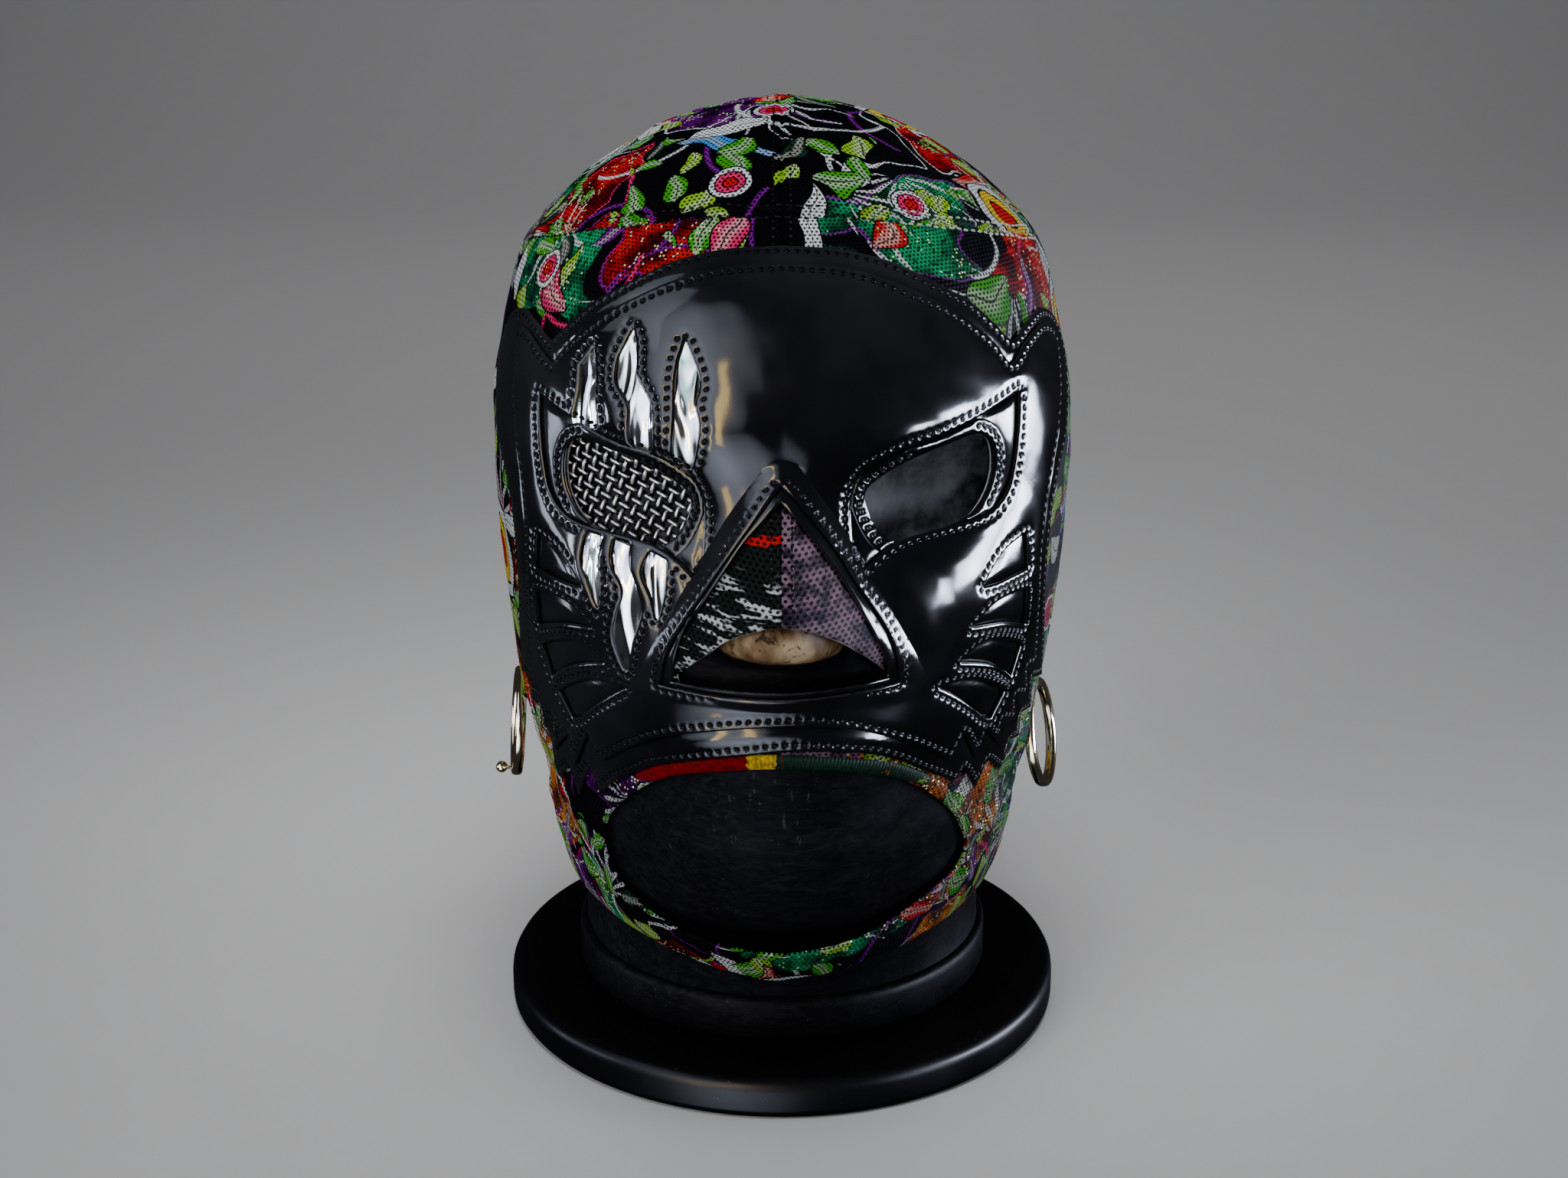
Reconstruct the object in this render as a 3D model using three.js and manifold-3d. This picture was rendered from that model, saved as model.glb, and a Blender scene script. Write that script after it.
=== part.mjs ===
// Wrestling mask on its display head: a printed cloth hood, two black patent panels, inlays, an eye screen and hoops.
// Millimetres, +Z up. The face looks along -Y, +X is the viewer's right and the foot stands on z = 0.
// Every layer of the mask is cut from one faceted drape surface, so that the layers stay parallel.
// A place on that surface is written [u, z]: u is the azimuth from the face times PATTERN_RADIUS, z the height.

import * as THREE from "three";
import { mergeVertices } from "three/addons/utils/BufferGeometryUtils.js";
import Module from "manifold-3d";

const wasm = await Module();
wasm.setup();

// Driving sizes
const PATTERN_RADIUS = 90;
const BACK_U = Math.PI * PATTERN_RADIUS; // the middle of the back
const CROWN = 266.5;
const HEM = 41;
const FOOT_RADIUS = 82.5;
const FOOT_THICKNESS = 12;
const FOOT_SIDES = 44;
const COLLAR_RADIUS = 61.5;
const COLLAR_TOP = 25.4;
const GAP = 0.3; // between two pieces that touch

// Layers, as distances out from the drape surface
const LAYER = {
  screen: { inner: -0.9, outer: -0.1 },
  hood: { inner: 0.3, outer: 2 },
  underPanel: { inner: 2.35, outer: 3.3 },
  facePanel: { inner: 3.65, outer: 4.6 },
  inlay: { inner: 3.65, outer: 4.2 },
};

// Level sections of the dressed head: height, half width, front depth, back depth, squareness of the front half
const HEAD_RINGS = [
  [38, 60.5, 74, 62.5, 1.52],
  [48, 64.5, 83, 65, 1.58],
  [64, 66.5, 90.5, 70, 1.7],
  [84, 69.5, 94.5, 78.5, 1.84],
  [111, 74.8, 96.5, 90, 1.98],
  [135, 77.5, 97, 97, 2.08],
  [160, 79, 96.5, 101, 2.18],
  [188, 79, 95.5, 102, 2.24],
  [208, 75.6, 92.5, 99, 2.24],
  [228, 70.3, 84.5, 91, 2.2],
  [240, 60.5, 72.5, 79, 2.12],
  [252, 45, 55, 60.5, 2.06],
  [261, 26.5, 33, 37, 2],
  [CROWN, 0, 0, 0, 2],
];
// The bare display head is slimmer under the chin, where the hood hangs loose.
const FORM_RINGS = [
  [38, 58.8, 62, 60, 2],
  [48, 60.5, 71, 62.5, 1.9],
  [64, 65.5, 86.5, 69.5, 1.74],
  ...HEAD_RINGS.slice(3),
];
const BACK_SQUARENESS = 2.1;

// The collar and the neck under the hem: radius and height, from the bottom up
const COLLAR_PROFILE = [
  [COLLAR_RADIUS - 0.8, FOOT_THICKNESS + GAP],
  [COLLAR_RADIUS, FOOT_THICKNESS + 1.6],
  [COLLAR_RADIUS, COLLAR_TOP - 3],
  [COLLAR_RADIUS - 0.9, COLLAR_TOP - 0.6],
  [COLLAR_RADIUS - 2.2, COLLAR_TOP],
];

// Columns and rows of the facets: close together at the nose, wide apart at the back
const NOSE_COLUMNS = [0, 3.5, 7, 11, 16];
const FACE_COLUMNS = [22.5, 30, 38.5, 48, 59, 71, 84, 98];
const BACK_COLUMNS = [112, 127, 143, 161, 180];
const TOP_ROW = 263;
const BACK_ROWS = [HEM, 62, 95, 125, 156, 190, 210, 230, 249, TOP_ROW];
const FACE_ROWS = [...BACK_ROWS, 78, 108, 142.5, 172, 240, 257];
const NOSE_ROWS = [...FACE_ROWS, 50, 132, 137, 147, 151.5, 163, 181, 200];

// Relief of the face
const TENT = { bottom: 128, top: 188, slope: 0.55, least: 3, most: 36, power: 1.25 };
const TENT_PROFILE = [
  [128, 0],
  [133, 3],
  [136, 8],
  [140, 16],
  [146, 20.5],
  [154, 20],
  [160, 17],
  [170, 11],
  [184, 2.5],
  [190, 0],
];
const NOSE_PROFILE = [
  [138, 0],
  [141, 7],
  [143, 14.5],
  [146, 18.8],
  [150, 19.4],
  [154, 18.4],
  [160, 15.5],
  [170, 9.5],
  [184, 1.8],
  [190, 0],
];
const NOSE_HALF_WIDTH = { tip: 17, bridge: 9, tipHeight: 150, bridgeHeight: 184 };
const EYE_CENTRE = [36, 180];
const SOCKET = { depth: 4.5, width: 24, height: 19 };
const CLOSURE_ROOM = { depth: 1.3, from: 150, top: 220 }; // the form is lower here, so that the tongue fits in

// Outlines of the panels, on the pattern. A point is a corner; a list of points is a smooth run through them.
const UNDER_TOP = [
  [14, 237.1],
  [23, 235.7],
  [31, 233.6],
  [38.5, 230.4],
  [45.5, 227],
  [51.5, 223.8],
  [58, 218.5],
  [64.7, 213.2],
];
const UNDER_SIDE = [
  [71, 215.3],
  [78, 217.3],
  [85, 218],
  [93, 216.2],
  [99, 213],
  [103, 208],
  [103.5, 202],
  [101, 196.5],
  [98, 190.5],
  [95.5, 185],
  [92, 181],
  [88, 176.5],
  [85, 171],
  [83, 165],
  [82, 157],
  [82.5, 149],
  [85, 141],
  [90.5, 129.5],
  [96, 119],
];
const UNDER_STEPS_LEFT = [
  [-99, 114.5],
  [-86.5, 117.5],
  [-92.5, 108.5],
  [-83.5, 109],
  [-89.5, 101],
  [-79.5, 100.5],
  [-84, 90.5],
  [-82.3, 87.4],
  [-69.1, 95.9],
  [-67.3, 87],
  [-55.9, 100],
];
const UNDER_STEPS_RIGHT = [
  [101, 113],
  [84.5, 117.4],
  [93, 105.5],
  [80.5, 108],
  [87, 98.5],
  [75.7, 101.5],
  [77, 96.5],
  [74.2, 92.8],
  [62.4, 100.2],
  [59, 92.3],
  [50.8, 101.7],
];
const UNDER_LIP = [
  [-52.4, 94.2],
  [-46, 99],
  [-38, 104.2],
  [-30, 109],
  [-18, 113.1],
  [-7, 115.6],
  [2.5, 116.7],
  [13, 115.8],
  [21, 114],
  [28, 110.7],
  [36, 105.5],
  [47.7, 98.5],
];
const FACE_TOP = [
  [13, 233.1],
  [22, 231.5],
  [30, 229],
  [37, 226],
  [43.5, 222.8],
  [50, 218.4],
  [56, 213.5],
  [61.2, 208],
];
const FACE_SIDE_LEFT = [
  [-68, 210.8],
  [-74, 213],
  [-80, 213.9],
  [-84.2, 211.6],
  [-82, 204.4],
  [-79, 195.2],
  [-76.2, 187.8],
  [-74.2, 181.5],
  [-72.8, 174],
  [-72, 166],
  [-72.9, 153.6],
  [-76.4, 139.6],
  [-80.6, 126.9],
  [-82.3, 120],
];
const FACE_SIDE_RIGHT = [
  [67.5, 211.3],
  [74, 213.5],
  [81, 214.6],
  [88, 212.8],
  [92, 208.5],
  [88.8, 199.1],
  [85, 191.5],
  [81.5, 184.3],
  [78.6, 177.5],
  [76.2, 169.5],
  [74.9, 161.5],
  [74.7, 153],
  [78, 139.1],
  [81.2, 127.5],
];
const FACE_STEPS_LEFT = [
  [-83.8, 115.1],
  [-75.8, 115.8],
  [-78.2, 107.7],
  [-69.2, 110.7],
  [-74, 100],
  [-62, 108.8],
  [-62.1, 98.9],
  [-52.3, 111.7],
];
const FACE_STEPS_RIGHT = [
  [82.4, 122.4],
  [75.2, 124.4],
  [79.5, 114.2],
  [70, 117.5],
  [73.4, 109],
  [63.8, 112.4],
  [66, 104],
  [56.6, 112.1],
  [54.4, 104],
  [47.1, 114.1],
];
const FACE_LIP = [
  [-48.3, 105.9],
  [-38, 112.2],
  [-31, 116.2],
  [-24.5, 118.9],
  [-15.5, 121.1],
  [-7, 122.5],
  [2, 123.1],
  [10, 122.7],
  [17, 121.3],
  [28, 116.7],
  [35, 112.6],
  [43.4, 107.4],
];

// The windows of the eyes, for the right side and mirrored for the left. Each side is then moved by EYE_MOVE.
const EYE_MOVE = { left: [-1, -0.8], right: [-1, 0.6] };
const WINDOW_TIP = [63.5, 201];
const WINDOW_CORNER = [18.2, 161];
const WINDOW_LOWER = [
  [62.5, 192.6],
  [61.7, 185],
  [60.2, 178.4],
  [57, 174],
  [51.4, 170.9],
  [42.6, 169.4],
  [34.5, 168.4],
  [27.5, 167.2],
  [22.4, 164.7],
];
const WINDOW_UPPER = [
  [16.8, 165.3],
  [16.2, 171.5],
  [15.9, 177.6],
  [16.5, 182.7],
  [18.3, 186.7],
  [21, 189.4],
  [28.5, 192.6],
  [37.5, 194.4],
  [46, 196.4],
  [54, 198.6],
];
const EYE_HOLE = [
  [19.6, 182],
  [24.5, 186.6],
  [31.5, 190.1],
  [40, 192.3],
  [48.5, 193.3],
  [53.3, 190],
  [55, 183.5],
  [53.6, 177.3],
  [48.5, 171.7],
  [40, 169],
  [30.5, 167],
  [24, 169.3],
  [20.3, 176],
];
const PATCH_GROWTH = 3.4;
const SCREEN_GROWTH = 2;

// Flame windows on the viewer's left: the first three above the eye, the others below it
const FLAMES_ABOVE = [
  [
    [-46.9, 214.3],
    [-45.2, 208],
    [-44.7, 202],
    [-43.9, 196],
    [-50.8, 196.2],
    [-50.3, 203.4],
    [-50.9, 209.5],
  ],
  [
    [-36.5, 219.3],
    [-34.8, 215.5],
    [-33.8, 208.5],
    [-29.8, 202],
    [-29.6, 192.5],
    [-34.8, 193.8],
    [-35.4, 201.5],
    [-39.6, 207],
    [-39.6, 212.6],
  ],
  [
    [-22.8, 217.6],
    [-19.4, 211.1],
    [-18.6, 206.8],
    [-19.4, 203],
    [-18.4, 197.8],
    [-20.2, 189],
    [-24.2, 190.7],
    [-24, 199.5],
    [-24.4, 207.6],
    [-24.1, 213],
  ],
];
const FLAMES_BELOW = [
  [
    [-48.4, 167.8],
    [-49, 161],
    [-46.6, 156.4],
    [-43.4, 150.2],
    [-42.7, 156],
    [-43.7, 161.4],
    [-43.2, 167.1],
  ],
  [
    [-40.4, 167.1],
    [-40.3, 161.5],
    [-36.8, 155.5],
    [-38.4, 149.5],
    [-39.6, 142.5],
    [-36.7, 134.3],
    [-34.6, 143],
    [-32.2, 151],
    [-33.4, 157],
    [-35.5, 161.6],
    [-35.8, 166.5],
  ],
  [
    [-30.5, 165.3],
    [-32.2, 160.3],
    [-29.6, 154.5],
    [-28.5, 149.3],
    [-26.6, 156],
    [-26.2, 163.8],
  ],
];

// Claw windows of the cheek, for the left side and mirrored for the right
const CLAWS = [
  [
    [-65.5, 164.5],
    [
      [-61, 163.5],
      [-56.5, 162],
      [-52, 158.8],
      [-48, 154.5],
    ],
    [
      [-52.5, 154.3],
      [-58.5, 154.6],
      [-66.5, 154.7],
    ],
  ],
  [
    [-67, 149],
    [
      [-59, 150],
      [-51.5, 149],
      [-45.5, 144.7],
    ],
    [
      [-51, 144],
      [-58, 142.5],
      [-68.7, 138.6],
    ],
  ],
  [
    [-68.5, 133],
    [
      [-61.5, 136.3],
      [-53.5, 139],
      [-48, 138.9],
      [-43, 135.3],
    ],
    [
      [-48.6, 133.7],
      [-56.5, 130.5],
      [-65.5, 124.5],
    ],
  ],
  [
    [-63, 121.3],
    [
      [-57.6, 124.5],
      [-50.5, 128.2],
      [-44, 129.8],
      [-37, 129.5],
    ],
    [
      [-42.5, 125.7],
      [-49.3, 120.4],
      [-54, 116.4],
      [-58, 114.8],
    ],
  ],
];

// The windows and the edges round the nose and the mouth
const NOSE_WINDOW = {
  apex: [0, 183.9],
  left: [
    [-5.2, 174.6],
    [-10.2, 165.8],
    [-15.3, 156.8],
    [-20.6, 147.5],
    [-24.5, 140.5],
    [-27.6, 132.7],
  ],
  base: [
    [-14, 133],
    [0, 133.4],
    [14, 134],
    [26.4, 134.2],
  ],
  right: [
    [22, 146.3],
    [14.9, 158.8],
    [9.5, 169],
    [0, 183.9],
  ],
};
const UNDER_NOSE_WINDOW = {
  apex: [0, 180.5],
  left: [
    [-6.1, 172.3],
    [-11.2, 163.4],
    [-15.8, 154.9],
    [-20, 148.1],
    [-24.8, 133.9],
  ],
  base: [
    [0, 134.6],
    [24, 135.5],
  ],
  right: [
    [16.9, 151.4],
    [10, 164.5],
    [0, 180.5],
  ],
};
const NOSTRIL_ARCH = [
  [-23.8, 135.5],
  [-16, 143.1],
  [-9, 150.1],
  [0, 154.4],
  [9, 150.1],
  [17.3, 142.8],
  [24.4, 135.5],
];
const NOSTRIL_BASE = 131;
const MOUTH = [
  [0, 112.2],
  [-18, 109.5],
  [-32, 103.7],
  [-48.4, 90.6],
  [-57, 81],
  [-61.5, 71],
  [-58.5, 62.3],
  [-49, 57],
  [-37, 54],
  [-22, 52.7],
  [0, 52.7],
  [22, 53.4],
  [36, 56.6],
  [50, 60.3],
  [63.2, 63.6],
  [66.5, 70.5],
  [58.5, 80.5],
  [48.5, 90.5],
  [34, 102],
  [20, 108.8],
];

// The closure at the back, worked out from its own sizes
const SLIT = { bottomHalf: 6.5, topHalf: 3.5, top: 200 };
const PLACKET = { inner: 8.5, outer: 24, bottom: 44, top: 206 };
const TONGUE = { half: 19, bottom: 44, top: 207 };
const EYELET = { radius: 3.8, hole: 2.1, sides: 6, u: 15.5, heights: [52, 79, 110, 140, 173] };

// The hoops: a half-round band, hung by its top through the hood
const HOOP = { radius: 16.2, band: 2.5, width: 3.1, segments: 28 };
const HOOP_LEFT = { centre: [-78, -4, 87], turn: 8, lean: 5 };
const HOOP_RIGHT = { centre: [76, -8, 85], turn: -16, lean: -10 };
const HOOP_BALL = { radius: 1.7, post: 0.6, reach: 4.2 };
const HOOP_SWELL = { u: -138, z: 102, width: 22, height: 15, amount: 1.8 };

// Catmull-Rom step between b and c
function spline(a, b, c, d, t) {
  const line = 2 * b + (c - a) * t;
  const square = (2 * a - 5 * b + 4 * c - d) * t * t;
  const cube = (3 * b - a - 3 * c + d) * t * t * t;
  return (line + square + cube) / 2;
}

// The level section at a height: half width, front depth, back depth and squareness
function sectionAt(rings, height) {
  const [bottom, next] = rings;
  const below = bottom.map((value, k) => 2 * value - next[k]);
  const before = rings[rings.length - 2];
  const above = before.map((value, k) => (k > 0 && k < 4 ? -value : value));
  const all = [below, ...rings, above];
  const z = (s) => {
    const i = Math.min(Math.floor(s), rings.length - 2);
    return spline(all[i][0], all[i + 1][0], all[i + 2][0], all[i + 3][0], s - i);
  };
  let low = 0;
  let high = rings.length - 1;
  while (high - low > 1e-6) {
    const middle = (low + high) / 2;
    if (z(middle) < height) low = middle;
    else high = middle;
  }
  const i = Math.min(Math.floor(low), rings.length - 2);
  return bottom.map((_, k) => spline(all[i][k], all[i + 1][k], all[i + 2][k], all[i + 3][k], low - i));
}

function sectionRadius(rings, azimuth, height) {
  const [, half, front, back, squareness] = sectionAt(rings, height);
  const forward = Math.cos(azimuth) >= 0;
  const depth = forward ? front : back;
  const power = forward ? squareness : BACK_SQUARENESS;
  const across = (Math.abs(Math.sin(azimuth)) / half) ** power;
  const along = (Math.abs(Math.cos(azimuth)) / depth) ** power;
  return (across + along) ** (-1 / power);
}

function profileAt(profile, height) {
  const above = profile.findIndex(([z]) => z > height);
  if (above < 1) return 0;
  const [z0, h0] = profile[above - 1];
  const [z1, h1] = profile[above];
  return h0 + ((h1 - h0) * (height - z0)) / (z1 - z0);
}

// A smooth swelling on both sides of the face; a power over 2 gives it a flatter top
function swelling(x, z, [centreX, centreZ], [radiusX, radiusZ], power = 2) {
  const across = Math.abs((Math.abs(x) - centreX) / radiusX) ** power;
  const up = Math.abs((z - centreZ) / radiusZ) ** power;
  return Math.exp(-across - up);
}

function faceRelief(x, z) {
  const eyes = -5 * swelling(x, z, [34, 178], [17, 12]);
  const cheeks = 2.5 * swelling(x, z, [46, 150], [16, 16]);
  const lips = 3 * swelling(x, z, [0, 114], [34, 15]);
  const brows = swelling(x, z, [26, 196], [20, 7]);
  return eyes + cheeks + lips + brows;
}

// The cloth stands off the nose like a tent.
function tentHeight(x, z) {
  const wanted = TENT.least + (TENT.top - z) * TENT.slope;
  const halfWidth = Math.min(Math.max(wanted, TENT.least), TENT.most);
  const fall = 1 - (Math.abs(x) / halfWidth) ** TENT.power;
  return profileAt(TENT_PROFILE, z) * Math.max(fall, 0);
}

function noseHeight(x, z) {
  const { tip, bridge, tipHeight, bridgeHeight } = NOSE_HALF_WIDTH;
  const t = Math.min(Math.max((z - tipHeight) / (bridgeHeight - tipHeight), 0), 1);
  const fall = 1 - (x / (tip + (bridge - tip) * t)) ** 2;
  return profileAt(NOSE_PROFILE, z) * Math.max(fall, 0);
}

function dressedRadius(azimuth, z) {
  const radius = sectionRadius(HEAD_RINGS, azimuth, z);
  const x = radius * Math.sin(azimuth);
  const { u, width, height, amount } = HOOP_SWELL;
  const aside = (azimuth * PATTERN_RADIUS - u) / width;
  const swell = amount * Math.exp(-(aside ** 2) - ((z - HOOP_SWELL.z) / height) ** 2);
  const relief = Math.cos(azimuth) > 0 ? faceRelief(x, z) + tentHeight(x, z) : 0;
  return radius + swell + relief;
}

// The bare head nowhere stands out of the cloth that lies on it.
function formRadius(azimuth, z) {
  const dressed = dressedRadius(azimuth, z);
  const radius = sectionRadius(FORM_RINGS, azimuth, z);
  const x = radius * Math.sin(azimuth);
  if (Math.cos(azimuth) > 0) {
    const { depth, width, height } = SOCKET;
    const socket = depth * swelling(x, z, EYE_CENTRE, [width, height], 4);
    return Math.min(radius + faceRelief(x, z) + noseHeight(x, z), dressed) - socket;
  }
  const nearBack = THREE.MathUtils.degToRad(CLOSURE_ROOM.from);
  const room = Math.abs(azimuth) > nearBack && z < CLOSURE_ROOM.top ? CLOSURE_ROOM.depth : 0;
  return Math.min(radius, dressed) - room;
}

const ascending = (values) => [...values].sort((a, b) => a - b);

// Columns of facets, once round from the middle of the back
function headColumns() {
  const side = [
    ...NOSE_COLUMNS.map((degrees) => ({ degrees, heights: NOSE_ROWS })),
    ...FACE_COLUMNS.map((degrees) => ({ degrees, heights: FACE_ROWS })),
    ...BACK_COLUMNS.map((degrees) => ({ degrees, heights: BACK_ROWS })),
  ];
  const other = side.slice(1, -1).map(({ degrees, heights }) => ({ degrees: -degrees, heights }));
  const last = side[side.length - 1];
  const start = { degrees: -last.degrees, heights: last.heights };
  const all = [start, ...other.reverse(), ...side.slice(0, -1)];
  return all.map(({ degrees, heights }) => ({
    azimuth: THREE.MathUtils.degToRad(degrees),
    heights: ascending(heights),
  }));
}

// Triangles between two columns of nodes; each node is { index, z }
function zip(left, right, leftFirst) {
  const triangles = [];
  let i = 0;
  let j = 0;
  while (i < left.length - 1 || j < right.length - 1) {
    const nextLeft = i < left.length - 1 ? left[i + 1].z : Infinity;
    const nextRight = j < right.length - 1 ? right[j + 1].z : Infinity;
    const goLeft = leftFirst ? nextLeft <= nextRight : nextLeft < nextRight;
    const top = goLeft ? left[i + 1] : right[j + 1];
    triangles.push([left[i].index, right[j].index, top.index]);
    if (goLeft) i += 1;
    else j += 1;
  }
  return triangles;
}

function geometryOf(points, triangles) {
  const positions = points.flatMap((p) => [p.x, p.y, p.z]);
  const geometry = new THREE.BufferGeometry();
  geometry.setAttribute("position", new THREE.Float32BufferAttribute(positions, 3));
  geometry.setIndex(triangles.flat());
  return geometry;
}

// A faceted surface over the whole head: its points, outward normals, columns and triangles
function headSurface(radiusAt, baseProfile = []) {
  const columns = headColumns();
  const points = [];
  const add = (radius, azimuth, z) => {
    points.push(new THREE.Vector3(radius * Math.sin(azimuth), -radius * Math.cos(azimuth), z));
    return { index: points.length - 1, z };
  };
  for (const column of columns) {
    const { azimuth, heights } = column;
    const base = baseProfile.map(([radius, z]) => add(radius, azimuth, z));
    column.nodes = [...base, ...heights.map((z) => add(radiusAt(azimuth, z), azimuth, z))];
  }
  const crown = add(0, 0, CROWN).index;
  const triangles = [];
  columns.forEach((column, k) => {
    const next = columns[(k + 1) % columns.length];
    triangles.push(...zip(column.nodes, next.nodes, column.azimuth < 0));
    triangles.push([column.nodes.at(-1).index, next.nodes.at(-1).index, crown]);
  });
  const geometry = geometryOf(points, triangles);
  geometry.computeVertexNormals();
  const normal = geometry.getAttribute("normal");
  const normals = points.map((_, k) => new THREE.Vector3().fromBufferAttribute(normal, k));
  return { columns, points, normals, triangles, crown };
}

const drape = headSurface(dressedRadius);

// The drape surface unrolled, past the middle of the back, as strips between two columns
const unrolled = [...drape.columns, ...drape.columns.slice(0, 3)].map((column, k) => ({
  ...column,
  u: column.azimuth * PATTERN_RADIUS + (k < drape.columns.length ? 0 : 2 * BACK_U),
}));
const radiusOf = (index) => Math.hypot(drape.points[index].x, drape.points[index].y);

const strips = unrolled.slice(0, -1).map((left, k) => {
  const right = unrolled[k + 1];
  const places = new Map();
  for (const column of [left, right]) {
    for (const { index, z } of column.nodes) places.set(index, [column.u, z]);
  }
  const triangles = zip(left.nodes, right.nodes, left.azimuth < 0);
  return { from: left.u, to: right.u, triangles, places };
});

// The facet that a pattern place lies on, with the weights of its corners
function locate(u, z) {
  const strip = strips.find(({ to }) => u <= to) ?? strips[strips.length - 1];
  let best = { least: -Infinity };
  for (const triangle of strip.triangles) {
    const [[u0, z0], [u1, z1], [u2, z2]] = triangle.map((index) => strip.places.get(index));
    const area = (u1 - u0) * (z2 - z0) - (u2 - u0) * (z1 - z0);
    const w1 = ((u - u0) * (z2 - z0) - (u2 - u0) * (z - z0)) / area;
    const w2 = ((u1 - u0) * (z - z0) - (u - u0) * (z1 - z0)) / area;
    const weights = [1 - w1 - w2, w1, w2];
    const least = Math.min(...weights);
    if (least > best.least) best = { least, triangle, weights };
  }
  return best;
}

// The unrolled slab, in pattern space: u, z and the radius of the surface, which keeps its facets apart
const SLAB_HALF = 10;
const BLOCK_DEPTH = 300;
function patternSlab(columns) {
  const points = [];
  const ids = columns.map((column) =>
    column.nodes.map(({ index, z }) => {
      points.push(new THREE.Vector3(column.u, z, radiusOf(index) + SLAB_HALF));
      return { index: points.length - 1, z };
    }),
  );
  const count = points.length;
  const bottom = points.map((p) => new THREE.Vector3(p.x, p.y, p.z - 2 * SLAB_HALF));
  const triangles = [];
  const wall = (a, b) => triangles.push([a, a + count, b], [b, a + count, b + count]);
  ids.slice(0, -1).forEach((left, k) => {
    const right = ids[k + 1];
    for (const [a, b, c] of zip(left, right, columns[k].azimuth < 0)) {
      triangles.push([a, b, c], [a + count, c + count, b + count]);
    }
    wall(left[0].index, right[0].index);
    wall(right.at(-1).index, left.at(-1).index);
  });
  const up = (column, reverse) => {
    for (let i = 1; i < column.length; i += 1) {
      const pair = [column[i - 1].index, column[i].index];
      wall(...(reverse ? pair.reverse() : pair));
    }
  };
  up(ids[0], true);
  up(ids.at(-1), false);
  return solidFrom(geometryOf([...points, ...bottom], triangles));
}

// A manifold solid from three.js geometry, and back
const MERGE_DISTANCE = 1e-3;
function solidFrom(geometry) {
  const bare = geometry.clone();
  bare.deleteAttribute("normal");
  bare.deleteAttribute("uv");
  const merged = mergeVertices(bare, MERGE_DISTANCE);
  return new wasm.Manifold(
    new wasm.Mesh({
      numProp: 3,
      vertProperties: merged.getAttribute("position").array,
      triVerts: new Uint32Array(merged.index.array),
    }),
  );
}

function geometryFrom(solid) {
  const { vertProperties, triVerts } = solid.getMesh();
  const geometry = new THREE.BufferGeometry();
  geometry.setAttribute("position", new THREE.Float32BufferAttribute(vertProperties, 3));
  geometry.setIndex([...triVerts]);
  return geometry;
}

// The points of an outline, with each smooth run drawn as a spline
const RUN_SEGMENTS = 1;
function outlinePoints(steps) {
  const path = new THREE.Path();
  steps.forEach((step, k) => {
    const run = Array.isArray(step[0]);
    if (k === 0) path.moveTo(...(run ? step[0] : step));
    if (run) path.splineThru(step.slice(k === 0 ? 1 : 0).map(([u, z]) => new THREE.Vector2(u, z)));
    else if (k > 0) path.lineTo(...step);
  });
  const points = path.getPoints(RUN_SEGMENTS);
  return points[0].distanceTo(points.at(-1)) < 0.05 ? points.slice(0, -1) : points;
}

// A closed smooth loop through its points, moved outwards by growth
function loopPoints(places, growth = 0) {
  const curve = new THREE.CatmullRomCurve3(
    places.map(([u, z]) => new THREE.Vector3(u, z, 0)),
    true,
    "catmullrom",
    0.5,
  );
  const count = places.length * RUN_SEGMENTS;
  const points = Array.from({ length: count }, (_, k) => curve.getPoint(k / count));
  const turn = THREE.ShapeUtils.isClockWise(points) ? -1 : 1;
  return points.map((p, k) => {
    const along = points[(k + 1) % count].clone().sub(points[(k + count - 1) % count]).normalize();
    return new THREE.Vector2(p.x + along.y * growth * turn, p.y - along.x * growth * turn);
  });
}

const mirrored = (steps) => steps.map((step) => (Array.isArray(step[0]) ? mirrored(step) : [-step[0], step[1]]));

const moved = (steps, [du, dz]) =>
  steps.map((step) => (Array.isArray(step[0]) ? moved(step, [du, dz]) : [step[0] + du, step[1] + dz]));

// A straight-sided block in pattern space over an outline, less its holes
function patternBlock(outline, holes = []) {
  const whole = (points) => solidFrom(
    new THREE.ExtrudeGeometry(new THREE.Shape(points), { depth: BLOCK_DEPTH, bevelEnabled: false }),
  );
  return holes.reduce((block, hole) => block.subtract(whole(hole)), whole(outline));
}

// Lays a solid from pattern space on the head, between the two distances of its layer
function laid(flat, { inner, outer }) {
  const { vertProperties, triVerts } = flat.getMesh();
  const places = [];
  const points = [];
  for (let k = 0; k < vertProperties.length; k += 3) {
    const [u, z, depth] = vertProperties.slice(k, k + 3);
    const { triangle, weights } = locate(u, z);
    const surface = triangle.reduce((sum, index, n) => sum + weights[n] * radiusOf(index), 0);
    const distance = depth > surface ? outer : inner;
    const point = new THREE.Vector3();
    triangle.forEach((index, n) => {
      point.addScaledVector(drape.points[index], weights[n]);
      point.addScaledVector(drape.normals[index], weights[n] * distance);
    });
    places.push([u, z]);
    points.push(point);
  }
  const triangles = [];
  for (let k = 0; k < triVerts.length; k += 3) triangles.push([...triVerts.slice(k, k + 3)]);
  return { places, points, triangles };
}

const slab = patternSlab(unrolled);

// A piece cut out of the slab and laid on the head
function draped(block, layer) {
  const { points, triangles } = laid(slab.intersect(block), layer);
  return geometryOf(points, triangles);
}

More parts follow.
